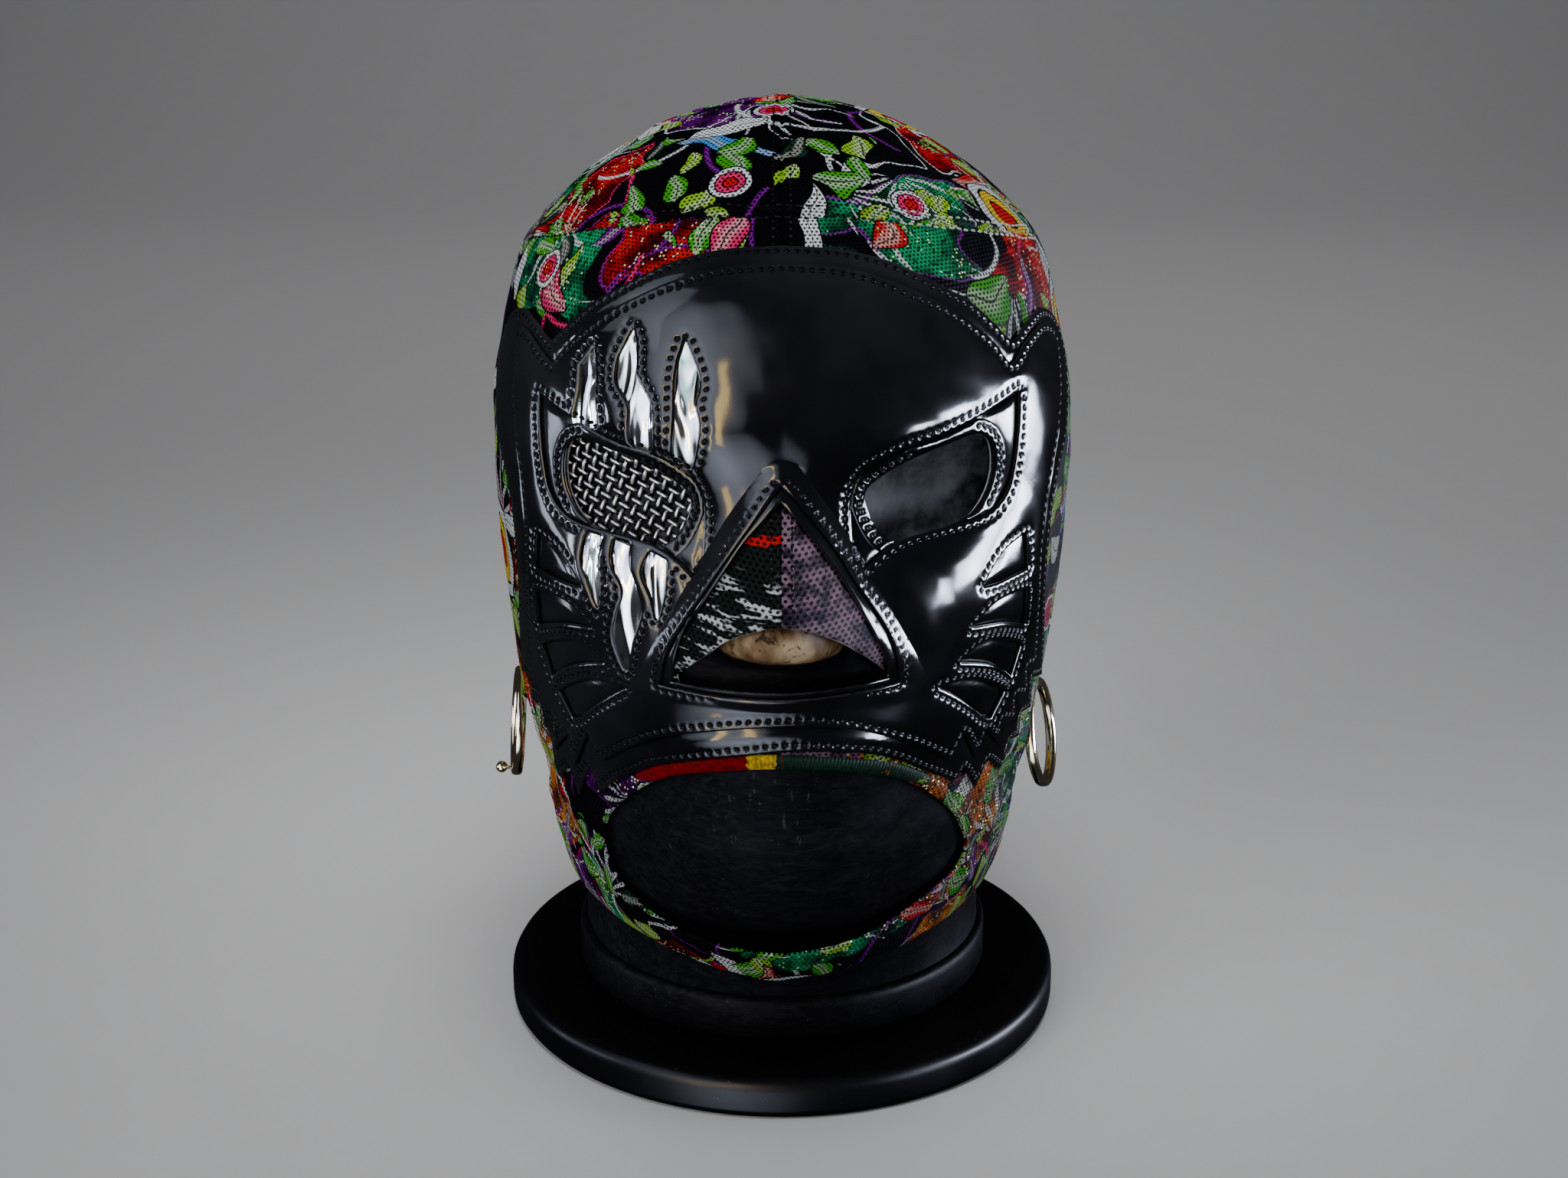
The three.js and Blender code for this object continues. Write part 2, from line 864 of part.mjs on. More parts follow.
// The shell of the whole hood less some holes: the unrolled slab is closed at the middle of the back and at the crown.
function closedShell(holes, layer) {
  const once = unrolled.slice(0, drape.columns.length + 1);
  const flat = holes.reduce((solid, hole) => solid.subtract(patternBlock(hole)), patternSlab(once));
  const { places, points, triangles } = laid(flat, layer);
  const ends = [(place) => place[0] < -BACK_U + 0.01, (place) => place[0] > BACK_U - 0.01, (place) => place[1] > TOP_ROW - 0.01];
  const kept = triangles.filter((triangle) => !ends.some((isEnd) => triangle.every((index) => isEnd(places[index]))));
  const rim = drape.columns.map((column) => column.nodes.at(-1).index);
  for (const [distance, outward] of [
    [layer.outer, true],
    [layer.inner, false],
  ]) {
    const first = points.length;
    for (const index of [...rim, drape.crown]) {
      points.push(drape.points[index].clone().addScaledVector(drape.normals[index], distance));
    }
    rim.forEach((_, k) => {
      const pair = [first + k, first + ((k + 1) % rim.length)];
      kept.push([...(outward ? pair : pair.reverse()), first + rim.length]);
    });
  }
  return solidFrom(geometryOf(points, kept));
}

// Windows and holes shared by several pieces
function eyeSteps(side, steps) {
  return moved(side === "left" ? mirrored(steps) : steps, EYE_MOVE[side]);
}

function eyeWindow(side) {
  const steps = [WINDOW_TIP, [...WINDOW_LOWER, WINDOW_CORNER], [...WINDOW_UPPER, WINDOW_TIP]];
  return outlinePoints(eyeSteps(side, steps));
}

function eyeHole(side, growth = 0) {
  return loopPoints(eyeSteps(side, EYE_HOLE), growth);
}

function noseWindow({ apex, left, base, right }) {
  return outlinePoints([apex, left, base, right]);
}

// Shrinks or grows a closed outline, keeping its corners
function inset(points, amount) {
  const turn = THREE.ShapeUtils.isClockWise(points) ? -1 : 1;
  const count = points.length;
  return points.map((p, k) => {
    const before = p.clone().sub(points[(k + count - 1) % count]).normalize();
    const after = points[(k + 1) % count].clone().sub(p).normalize();
    const normal = new THREE.Vector2(-before.y - after.y, before.x + after.x).normalize();
    const spread = Math.max(normal.dot(new THREE.Vector2(-before.y, before.x)), 0.4);
    return p.clone().addScaledVector(normal, (turn * amount) / spread);
  });
}

function headForm() {
  const { columns, points, triangles } = headSurface(formRadius, COLLAR_PROFILE);
  const base = points.push(new THREE.Vector3(0, 0, COLLAR_PROFILE[0][1])) - 1;
  columns.forEach((column, k) => {
    const next = columns[(k + 1) % columns.length];
    triangles.push([next.nodes[0].index, column.nodes[0].index, base]);
  });
  return geometryFrom(solidFrom(geometryOf(points, triangles)).subtract(hoopCutters()));
}

function foot() {
  const rim = [
    [0, 0],
    [FOOT_RADIUS - 2.5, 0],
    [FOOT_RADIUS, 2.5],
    [FOOT_RADIUS, FOOT_THICKNESS - 4],
    [FOOT_RADIUS - 1.4, FOOT_THICKNESS - 1],
    [FOOT_RADIUS - 4, FOOT_THICKNESS],
    [0, FOOT_THICKNESS],
  ];
  const points = rim.map(([x, y]) => new THREE.Vector2(x, y));
  return new THREE.LatheGeometry(points, FOOT_SIDES).rotateX(Math.PI / 2);
}

function hoopRing(clearance) {
  const { radius, band, width, segments } = HOOP;
  const half = width / 2 + clearance;
  const section = [
    [radius - band - clearance, -half * 0.85],
    [radius - band * 0.4, -half],
    [radius + clearance, 0],
    [radius - band * 0.4, half],
    [radius - band - clearance, half * 0.85],
    [radius - band - clearance, -half * 0.85],
  ];
  const points = section.map(([x, y]) => new THREE.Vector2(x, y));
  return new THREE.LatheGeometry(points, segments).rotateZ(Math.PI / 2);
}

function placeHoop(geometry, { centre, turn, lean }) {
  return geometry
    .rotateY(THREE.MathUtils.degToRad(lean))
    .rotateZ(THREE.MathUtils.degToRad(turn))
    .translate(...centre);
}

// Room for the hoops, taken out of the hood and of the head
function hoopCutters() {
  const cutters = [HOOP_LEFT, HOOP_RIGHT].map((place) => solidFrom(placeHoop(hoopRing(GAP + 0.05), place)));
  return cutters[0].add(cutters[1]);
}

function hoop(place) {
  return placeHoop(hoopRing(0), place);
}

// The viewer-left hoop has a short post with a ball at its foot.
function hoopWithBall(place) {
  const { radius, post, reach } = HOOP_BALL;
  const height = -HOOP.radius + HOOP.band / 2;
  const rod = new THREE.CylinderGeometry(post, post, reach, 8).rotateZ(Math.PI / 2);
  const ball = new THREE.SphereGeometry(radius, 10, 7).translate(-reach, 0, height);
  const ring = solidFrom(hoopRing(0));
  const whole = ring.add(solidFrom(rod.translate(-reach / 2, 0, height))).add(solidFrom(ball));
  return placeHoop(geometryFrom(whole), place);
}

function backSlit() {
  const { bottomHalf, topHalf, top } = SLIT;
  const shape = new THREE.Shape();
  shape.moveTo(-bottomHalf, HEM - 10);
  shape.lineTo(bottomHalf, HEM - 10);
  shape.lineTo(topHalf, top);
  shape.absarc(0, top, topHalf, 0, Math.PI, false);
  const block = new THREE.ExtrudeGeometry(shape, { depth: 100, bevelEnabled: false, curveSegments: 4 });
  return solidFrom(block.rotateX(Math.PI / 2).translate(0, 130, 0));
}

function hood() {
  const nostrils = outlinePoints([NOSTRIL_ARCH, [24.4, NOSTRIL_BASE], [-23.8, NOSTRIL_BASE]]);
  const holes = [eyeHole("left"), eyeHole("right"), nostrils, loopPoints(MOUTH)];
  const solid = closedShell(holes, LAYER.hood);
  return geometryFrom(solid.subtract(backSlit()).subtract(hoopCutters()));
}

function underPanel() {
  const outline = outlinePoints([
    [[0, 237.8], ...mirrored(UNDER_TOP)],
    mirrored(UNDER_SIDE),
    ...UNDER_STEPS_LEFT,
    UNDER_LIP,
    ...[...UNDER_STEPS_RIGHT].reverse(),
    [...UNDER_SIDE].reverse(),
    [...[...UNDER_TOP].reverse(), [0, 237.8]],
  ]);
  const holes = [noseWindow(UNDER_NOSE_WINDOW), eyeHole("left"), eyeHole("right")];
  return draped(patternBlock(outline, holes), LAYER.underPanel);
}

function facePanel() {
  const outline = outlinePoints([
    [[0, 233.8], ...mirrored(FACE_TOP)],
    FACE_SIDE_LEFT,
    ...FACE_STEPS_LEFT,
    FACE_LIP,
    ...[...FACE_STEPS_RIGHT].reverse(),
    [...FACE_SIDE_RIGHT].reverse(),
    [...[...FACE_TOP].reverse(), [0, 233.8]],
  ]);
  const claws = CLAWS.flatMap((claw) => [outlinePoints(claw), outlinePoints(mirrored(claw))]);
  const flames = [...FLAMES_ABOVE, ...FLAMES_BELOW].map((flame) => outlinePoints(flame));
  const holes = [noseWindow(NOSE_WINDOW), eyeWindow("left"), eyeWindow("right"), ...claws, ...flames];
  return draped(patternBlock(outline, holes), LAYER.facePanel);
}

// The inlay of a flame stops short of the eye window that the flame opens into.
function flameInlay(flame) {
  const clearance = GAP + 0.05;
  const window = inset(eyeWindow("left"), -clearance);
  return draped(patternBlock(inset(outlinePoints(flame), clearance), [window]), LAYER.inlay);
}

// The stitched patch round an eye hole, as far as it shows in the window
function eyePatch(side) {
  const ring = patternBlock(eyeHole(side, PATCH_GROWTH), [eyeHole(side)]);
  const window = patternBlock(inset(eyeWindow(side), GAP + 0.05));
  return draped(ring.intersect(window), LAYER.inlay);
}

function eyeScreen() {
  return draped(patternBlock(eyeHole("left", SCREEN_GROWTH)), LAYER.screen);
}

function rectangle(left, right, bottom, top) {
  return [
    [left, bottom],
    [right, bottom],
    [right, top],
    [left, top],
  ].map(([u, z]) => new THREE.Vector2(BACK_U + u, z));
}

function tongue() {
  const { half, bottom, top } = TONGUE;
  return draped(patternBlock(rectangle(-half, half, bottom, top)), LAYER.screen);
}

function placket(side) {
  const { inner, outer, bottom, top } = PLACKET;
  const [left, right] = side < 0 ? [-outer, -inner] : [inner, outer];
  return draped(patternBlock(rectangle(left, right, bottom, top)), LAYER.underPanel);
}

function eyelet(side, height) {
  const { radius, hole, sides, u } = EYELET;
  const circle = (r) =>
    Array.from({ length: sides }, (_, k) => {
      const angle = (2 * Math.PI * (k + 0.5)) / sides;
      return new THREE.Vector2(BACK_U + side * u + r * Math.cos(angle), height + r * Math.sin(angle));
    });
  return draped(patternBlock(circle(radius), [circle(hole)]), LAYER.inlay);
}

// Materials
const material = (color, roughness, metalness) => new THREE.MeshStandardMaterial({ color, roughness, metalness });
const cloth = () => material(0x5b4f63, 0.75, 0);
const patent = () => material(0x0b0b0d, 0.18, 0);
const silver = () => material(0xc9cbd0, 0.12, 1);
const steel = () => material(0x9a9ca0, 0.35, 1);
const gold = () => material(0xd8cdb4, 0.16, 1);

const group = new THREE.Group();
group.name = "wrestling_mask";

function add(name, geometry, look) {
  const mesh = new THREE.Mesh(geometry, look);
  mesh.name = name;
  group.add(mesh);
}

add("stand_foot", foot(), material(0x08080a, 0.2, 0));
add("head_form", headForm(), material(0x111113, 0.45, 0));
add("hood", hood(), cloth());
add("vinyl_under_panel", underPanel(), patent());
add("vinyl_face_panel", facePanel(), patent());
FLAMES_ABOVE.forEach((flame, k) => add(`flame_inlay_upper_${k + 1}`, flameInlay(flame), silver()));
FLAMES_BELOW.forEach((flame, k) => add(`flame_inlay_lower_${k + 1}`, flameInlay(flame), silver()));
add("eye_patch_left", eyePatch("left"), patent());
add("eye_patch_right", eyePatch("right"), patent());
add("eye_screen", eyeScreen(), steel());
add("hoop_left", hoopWithBall(HOOP_LEFT), gold());
add("hoop_right", hoop(HOOP_RIGHT), gold());
add("closure_tongue", tongue(), cloth());
for (const [side, name] of [
  [-1, "left"],
  [1, "right"],
]) {
  add(`placket_${name}`, placket(side), patent());
  EYELET.heights.forEach((height, k) => add(`eyelet_${name}_${k + 1}`, eyelet(side, height), steel()));
}

export default group;
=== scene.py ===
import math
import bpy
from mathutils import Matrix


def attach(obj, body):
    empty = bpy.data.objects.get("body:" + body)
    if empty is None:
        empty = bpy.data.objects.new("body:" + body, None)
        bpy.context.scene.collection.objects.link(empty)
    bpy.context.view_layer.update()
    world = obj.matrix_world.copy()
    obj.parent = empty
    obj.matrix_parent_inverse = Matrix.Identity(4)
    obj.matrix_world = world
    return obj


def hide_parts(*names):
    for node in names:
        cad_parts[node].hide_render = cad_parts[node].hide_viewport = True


bl_info = {
    "name": "Wrestling Mask Looks",
    "version": (1, 0, 0),
    "blender": (4, 5, 0),
    "location": "3D View > Sidebar > Mask",
    "description": "Builds the looks of a wrestling mask on its display head",
    "category": "Object",
}

# The face looks along -Y and +X is the viewer's right. Sizes are in millimetres unless a name or a note
# says otherwise. A place on the head is written (u, z): u is the azimuth from the face times
# PATTERN_RADIUS, z the height.

from types import SimpleNamespace

import bpy
import numpy as np
from mathutils import Vector
from mathutils.geometry import delaunay_2d_cdt
from mathutils.kdtree import KDTree

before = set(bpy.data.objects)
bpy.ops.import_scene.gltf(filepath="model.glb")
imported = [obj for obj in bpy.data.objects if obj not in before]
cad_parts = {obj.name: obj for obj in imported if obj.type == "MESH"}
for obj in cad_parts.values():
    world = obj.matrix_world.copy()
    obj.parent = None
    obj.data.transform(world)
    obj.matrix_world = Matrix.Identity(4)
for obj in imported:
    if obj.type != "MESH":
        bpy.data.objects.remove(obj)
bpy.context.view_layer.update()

MM = 0.001
TINY = 1e-6
PATTERN_RADIUS = 90
BACK_U = math.pi * PATTERN_RADIUS
CROWN = 266.5
HEM = 41

# Level sections of the dressed head: height, half width, front and back depth, squareness of the front half
HEAD_RINGS = (
    (38, 60.5, 74, 62.5, 1.52),
    (48, 64.5, 83, 65, 1.58),
    (64, 66.5, 90.5, 70, 1.7),
    (84, 69.5, 94.5, 78.5, 1.84),
    (111, 74.8, 96.5, 90, 1.98),
    (135, 77.5, 97, 97, 2.08),
    (160, 79, 96.5, 101, 2.18),
    (188, 79, 95.5, 102, 2.24),
    (208, 75.6, 92.5, 99, 2.24),
    (228, 70.3, 84.5, 91, 2.2),
    (240, 60.5, 72.5, 79, 2.12),
    (252, 45, 55, 60.5, 2.06),
    (261, 26.5, 33, 37, 2),
    (CROWN, 0, 0, 0, 2),
)
FORM_RINGS = (
    (38, 58.8, 62, 60, 2),
    (48, 60.5, 71, 62.5, 1.9),
    (64, 65.5, 86.5, 69.5, 1.74),
    *HEAD_RINGS[3:],
)
BACK_SQUARENESS = 2.1
STEPS_PER_RING = 200

# Relief of the face. A swelling has an amount, a centre and a size, each (x, z).
TENT = {"top": 188, "slope": 0.55, "least": 3, "most": 36, "power": 1.25, "ridge": 1.4}
TENT_PROFILE = ((128, 0), (133, 3), (136, 8), (140, 16), (146, 20.5), (154, 20), (160, 17), (170, 11),
                (184, 2.5), (190, 0))
NOSE_PROFILE = ((138, 0), (141, 7), (143, 14.5), (146, 18.8), (150, 19.4), (154, 18.4), (160, 15.5),
                (170, 9.5), (184, 1.8), (190, 0))
PROFILE_SOFTNESS = 1.3
FACE_SWELLINGS = {
    "eyes": (-5, (34, 178), (17, 12)),
    "cheeks": (2.5, (46, 150), (16, 16)),
    "lips": (3, (0, 114), (34, 15)),
    "brows": (1, (26, 196), (20, 7)),
}
NOSE_HALF_WIDTH = {"tip": 17, "bridge": 9, "tip_height": 150, "bridge_height": 184}
EYE_CENTRE = (36, 180)
SOCKET = {"depth": 4.5, "width": 24, "height": 19}
CLOSURE_ROOM = {"depth": 1.3, "from": 150, "top": 220, "soft": 6}
HOOP_SWELL = {"u": -138, "z": 102, "width": 22, "height": 15, "amount": 1.8}

# Distances of the layers out from the drape surface
SCREEN_LEVEL = -0.45
TONGUE_LAYER = (-0.9, -0.1)
HOOD_LAYER = (0.45, 1.25)
UNDER_LAYER = (1.7, 2.5)
INLAY_LAYER = (2.56, 2.76)
PATCH_LAYER = (2.8, 3.35)
FACE_LAYER = (2.85, 3.7)

# Outlines. A pair is a corner; a tuple of pairs is a smooth run through them.
UNDER_TOP = ((0, 237.8), (14, 237.1), (23, 235.7), (31, 233.6), (38.5, 230.4), (45.5, 227), (51.5, 223.8),
             (58, 218.5), (64.7, 213.2))
UNDER_SIDE = ((71, 215.3), (78, 217.3), (85, 218), (93, 216.2), (99, 213), (103, 208), (103.5, 202),
              (101, 196.5), (98, 190.5), (95.5, 185), (92, 181), (88, 176.5), (85, 171), (83, 165),
              (82, 157), (82.5, 149), (85, 141), (90.5, 129.5), (96, 119))
UNDER_STEPS_LEFT = ((-99, 114.5), (-86.5, 117.5), (-92.5, 108.5), (-83.5, 109), (-89.5, 101),
                    (-79.5, 100.5), (-84, 90.5), (-82.3, 87.4), (-69.1, 95.9), (-67.3, 87), (-55.9, 100))
UNDER_STEPS_RIGHT = ((101, 113), (84.5, 117.4), (93, 105.5), (80.5, 108), (87, 98.5), (75.7, 101.5),
                     (77, 96.5), (74.2, 92.8), (62.4, 100.2), (59, 92.3), (50.8, 101.7))
UNDER_LIP = ((-52.4, 94.2), (-46, 99), (-38, 104.2), (-30, 109), (-18, 113.1), (-7, 115.6), (2.5, 116.7),
             (13, 115.8), (21, 114), (28, 110.7), (36, 105.5), (47.7, 98.5))
FACE_TOP = ((0, 233.8), (13, 233.1), (22, 231.5), (30, 229), (37, 226), (43.5, 222.8), (50, 218.4),
            (56, 213.5), (61.2, 208))
FACE_SIDE_LEFT = ((-68, 210.8), (-74, 213), (-80, 213.9), (-84.2, 211.6), (-82, 204.4), (-79, 195.2),
                  (-76.2, 187.8), (-74.2, 181.5), (-72.8, 174), (-72, 166), (-72.9, 153.6), (-76.4, 139.6),
                  (-80.6, 126.9), (-82.3, 120))
FACE_SIDE_RIGHT = ((67.5, 211.3), (74, 213.5), (81, 214.6), (88, 212.8), (92, 208.5), (88.8, 199.1),
                   (85, 191.5), (81.5, 184.3), (78.6, 177.5), (76.2, 169.5), (74.9, 161.5), (74.7, 153),
                   (78, 139.1), (81.2, 127.5))
FACE_STEPS_LEFT = ((-83.8, 115.1), (-75.8, 115.8), (-78.2, 107.7), (-69.2, 110.7), (-74, 100), (-62, 108.8),
                   (-62.1, 98.9), (-52.3, 111.7))
FACE_STEPS_RIGHT = ((82.4, 122.4), (75.2, 124.4), (79.5, 114.2), (70, 117.5), (73.4, 109), (63.8, 112.4),
                    (66, 104), (56.6, 112.1), (54.4, 104), (47.1, 114.1))
FACE_LIP = ((-48.3, 105.9), (-38, 112.2), (-31, 116.2), (-24.5, 118.9), (-15.5, 121.1), (-7, 122.5),
            (2, 123.1), (10, 122.7), (17, 121.3), (28, 116.7), (35, 112.6), (43.4, 107.4))
EYE_MOVE = {"left": (-1, -0.8), "right": (-1, 0.6)}
EYE_WINDOW = (
    (63.5, 201),
    ((62.5, 192.6), (61.7, 185), (60.2, 178.4), (57, 174), (51.4, 170.9), (42.6, 169.4), (34.5, 168.4),
     (27.5, 167.2), (22.4, 164.7), (18.2, 161)),
    ((16.8, 165.3), (16.2, 171.5), (15.9, 177.6), (16.5, 182.7), (18.3, 186.7), (21, 189.4), (28.5, 192.6),
     (37.5, 194.4), (46, 196.4), (54, 198.6), (63.5, 201)),
)
EYE_HOLE = ((19.6, 182), (24.5, 186.6), (31.5, 190.1), (40, 192.3), (48.5, 193.3), (53.3, 190), (55, 183.5),
            (53.6, 177.3), (48.5, 171.7), (40, 169), (30.5, 167), (24, 169.3), (20.3, 176))
PATCH_GROWTH = 3.4
FLAMES = {
    "upper_1": ((-46.9, 214.3), (-45.2, 208), (-44.7, 202), (-43.9, 196), (-50.8, 196.2), (-50.3, 203.4),
                (-50.9, 209.5)),
    "upper_2": ((-36.5, 219.3), (-34.8, 215.5), (-33.8, 208.5), (-29.8, 202), (-29.6, 192.5), (-34.8, 193.8),
                (-35.4, 201.5), (-39.6, 207), (-39.6, 212.6)),
    "upper_3": ((-22.8, 217.6), (-19.4, 211.1), (-18.6, 206.8), (-19.4, 203), (-18.4, 197.8), (-20.2, 189),
                (-24.2, 190.7), (-24, 199.5), (-24.4, 207.6), (-24.1, 213)),
    "lower_1": ((-48.4, 167.8), (-49, 161), (-46.6, 156.4), (-43.4, 150.2), (-42.7, 156), (-43.7, 161.4),
                (-43.2, 167.1)),
    "lower_2": ((-40.4, 167.1), (-40.3, 161.5), (-36.8, 155.5), (-38.4, 149.5), (-39.6, 142.5),
                (-36.7, 134.3), (-34.6, 143), (-32.2, 151), (-33.4, 157), (-35.5, 161.6), (-35.8, 166.5)),
    "lower_3": ((-30.5, 165.3), (-32.2, 160.3), (-29.6, 154.5), (-28.5, 149.3), (-26.6, 156), (-26.2, 163.8)),
}
CLAWS = (
    ((-65.5, 164.5), ((-61, 163.5), (-56.5, 162), (-52, 158.8), (-48, 154.5)),
     ((-52.5, 154.3), (-58.5, 154.6), (-66.5, 154.7))),
    ((-67, 149), ((-59, 150), (-51.5, 149), (-45.5, 144.7)), ((-51, 144), (-58, 142.5), (-68.7, 138.6))),
    ((-68.5, 133), ((-61.5, 136.3), (-53.5, 139), (-48, 138.9), (-43, 135.3)),
     ((-48.6, 133.7), (-56.5, 130.5), (-65.5, 124.5))),
    ((-63, 121.3), ((-57.6, 124.5), (-50.5, 128.2), (-44, 129.8), (-37, 129.5)),
     ((-42.5, 125.7), (-49.3, 120.4), (-54, 116.4), (-58, 114.8))),
)
NOSE_WINDOW = (
    (0, 183.9),
    ((-5.2, 174.6), (-10.2, 165.8), (-15.3, 156.8), (-20.6, 147.5), (-24.5, 140.5), (-27.6, 132.7)),
    ((-14, 133), (0, 133.4), (14, 134), (26.4, 134.2)),
    ((22, 146.3), (14.9, 158.8), (9.5, 169), (0, 183.9)),
)
UNDER_NOSE_WINDOW = (
    (0, 180.5),
    ((-6.1, 172.3), (-11.2, 163.4), (-15.8, 154.9), (-20, 148.1), (-24.8, 133.9)),
    ((0, 134.6), (24, 135.5)),
    ((16.9, 151.4), (10, 164.5), (0, 180.5)),
)
NOSTRILS = (
    ((-23.8, 135.5), (-16, 143.1), (-9, 150.1), (0, 154.4), (9, 150.1), (17.3, 142.8), (24.4, 135.5)),
    (24.4, 131),
    (-23.8, 131),
)
MOUTH = ((0, 112.2), (-18, 109.5), (-32, 103.7), (-48.4, 90.6), (-57, 81), (-61.5, 71), (-58.5, 62.3),
         (-49, 57), (-37, 54), (-22, 52.7), (0, 52.7), (22, 53.4), (36, 56.6), (50, 60.3), (63.2, 63.6),
         (66.5, 70.5), (58.5, 80.5), (48.5, 90.5), (34, 102), (20, 108.8))
PALE_THREAD_FROM = 38
FOLD_BELOW = 103
FOREHEAD_SEAM = ((-115, 232.8), (-81, 237.5), (-61, 240.4), (-45.5, 242.4), (-32, 244), (-20, 245),
                 (0, 245.1), (20, 245), (32, 244), (45.5, 242.4), (61, 240.4), (81, 237.5), (115, 232.8))

# The closure at the back
SLIT = {"bottom_half": 6.5, "top_half": 3.5, "top": 200}
PLACKET = {"inner": 8.5, "outer": 24, "bottom": 44, "top": 206}
TONGUE = {"half": 19, "bottom": 44, "top": 207, "curve": 1.06}
EYELET = {"hole": 2.1, "u": 15.5, "heights": (52, 79, 110, 140, 173), "sides": 40}
EYELET_PROFILE = ((2.1, 1.5), (2.1, 3.1), (2.35, 3.6), (2.9, 3.85), (3.45, 3.65), (3.8, 3.15), (3.6, 2.85),
                  (2.5, 2.8), (2.5, 1.5))

# Hoops
HOOP = {"radius": 16.2, "band": 2.5, "width": 3.1, "steps": 128, "sides": 20}
HOOPS = {
    "left": {"centre": (-78, -4, 87), "turn": 8, "lean": 5},
    "right": {"centre": (76, -8, 85), "turn": -16, "lean": -10},
}
HOOP_BALL = {"radius": 1.7, "post": 0.6, "reach": 4.2, "rings": 15, "sides": 20, "post_sides": 12}

# Head and stand
FORM_COLUMNS = 320
FORM_STEPS = ((0, 3, 35), (3, 8, 129), (8, 12.96, 69))
COLLAR_PROFILE = ((60.2, 12.3), (61, 12.7), (61.5, 13.9), (61.5, 22.4), (61.35, 23.8), (60.8, 24.8),
                  (59.8, 25.3), (59.3, 25.4))
FOOT_PROFILE = ((0, 0), (80, 0), (81.6, 0.6), (82.4, 1.8), (82.5, 2.6), (82.5, 8), (82.3, 9.6), (81.5, 11),
                (80.2, 11.8), (78.5, 12), (0, 12))
FOOT_SEGMENTS = 160

# How close the points of an edge lie, and how far the lines of points beside it
EDGE_STEP = 0.8
RIM_INSETS = (0.22, 0.6, 1.15)

# The dip that a stitch pulls, the groove along the row, how far from a stitch the dull dark thread paints
# the shade of the needle hole, and the rings of points that shape a dip: radius, and how many points
DIP = {"width": 0.66, "depth": 0.36, "groove": 0.08, "groove_width": 0.8, "painted_shade": 0.75,
       "rings": ((0.4, 6), (0.72, 8), (1.02, 9))}
PATCH_DIP = 0.28

# A stitch: the places along its half length, and how thick the thread is at each
STITCH = ((-1, 0.25), (-0.82, 0.75), (-0.4, 1), (0, 1), (0.4, 1), (0.82, 0.75), (1, 0.25))
STITCH_SIDES = 6
STITCH_SINK = 0.34

# How far the stitch rows lie from the edges
ROW_INSET = {"face": 1.7, "under": 1.8, "patch": 1.5, "placket": 1.9, "seam": 2.1}

# How the patent swells from its edges, and its unevenness: length of the large and the small waves, share of
# the small ones, and the margin at the edges
PUFF_REACH = 3
UNEVEN = {"large": 26, "small": 9, "share": 0.45, "margin": 4}

# How deep and how wide an edge is rolled
ROLL = {"cloth": (0.25, 0.4), "tongue": (0.2, 0.4), "patent": (0.3, 0.3)}

# The stretch of the cloth's folds, and the length of the large and the small ones
FOLDS = {"stretch": (1.6, 1.6, 0.7), "large": 17, "small": 8}

# Lines of points beside a seam, and its relief: depth (below 0 a swelling), distance from it and width
SEAM_RIDGES = (0.8, 2.1, 3.3)
SEAM_RELIEF = ((0.5, 0, 0.6), (-0.32, 1.5, 1.1), (0.2, 2.1, 0.4))

# The edge of the mouth: a ribbed binding above, a narrow fold below
BINDING = {"fold": 2.2, "from": 84, "soft": 14, "lap": 0.7, "lift": 0.85, "height": 0.62, "more": 0.3,
           "rib": 0.42, "steps": 4, "sides": 12}

# The two directions of the screen's wires: angle, distance between wires and between crossings, phase
WEAVES = ((-21.5, 2.49, 2.75, 0.0), (70.3, 2.75, 2.49, math.pi))
WEAVE = {"wires": 18, "reach": 32, "step": 0.3, "bend": 2.2, "sides": 6}

# How far the inlays reach under the edge of their windows
INLAY_LAP = 1.1

# Where the points of a shell are laid: lowest and highest z, and how far round
PANEL_ZONE = (84, 240, 108)
PATCH_ZONE = (155, 206, 70)
INLAY_ZONE = (128, 225, 60)
CLOSURE_ZONE = (40, 210, BACK_U)


# Small helpers
def unit(vectors):
    """Vectors brought to a length of one"""
    return vectors / np.maximum(np.linalg.norm(vectors, axis=1, keepdims=True), TINY)


def polar(azimuth, radius):
    return np.column_stack([radius * np.sin(azimuth), -radius * np.cos(azimuth)])


def lengths(path):
    """Length of each stretch of a path"""
    return np.linalg.norm(np.diff(path, axis=0), axis=1)


def signed_area(loop):
    """Twice the area of a loop, below 0 where it turns clockwise"""
    after = np.roll(loop, -1, axis=0)
    return np.sum(loop[:, 0] * after[:, 1] - after[:, 0] * loop[:, 1])


def full_turn(count):
    return np.arange(count) / count * 2 * math.pi


def bell(gap, width):
    return np.exp(-((gap / width) ** 2))


def tree_of(points):
    tree = KDTree(len(points))
    for k, point in enumerate(points):
        tree.insert(point, k)
    tree.balance()
    return tree


# Sections of the head
def section_table(rings):
    rings = np.array(rings, float)
    below = 2 * rings[0] - rings[1]
    above = rings[-2] * (1, -1, -1, -1, 1)
    knots = np.vstack([below, rings, above])
    step = np.linspace(0, len(rings) - 1, (len(rings) - 1) * STEPS_PER_RING + 1)
    i = np.minimum(step.astype(int), len(rings) - 2)
    t = (step - i)[:, None]
    return catmull_rom(knots[i], knots[i + 1], knots[i + 2], knots[i + 3], t)


def catmull_rom(a, b, c, d, t):
    line = 2 * b + (c - a) * t
    square = (2 * a - 5 * b + 4 * c - d) * t**2
    cube = (3 * b - a - 3 * c + d) * t**3
    return (line + square + cube) / 2


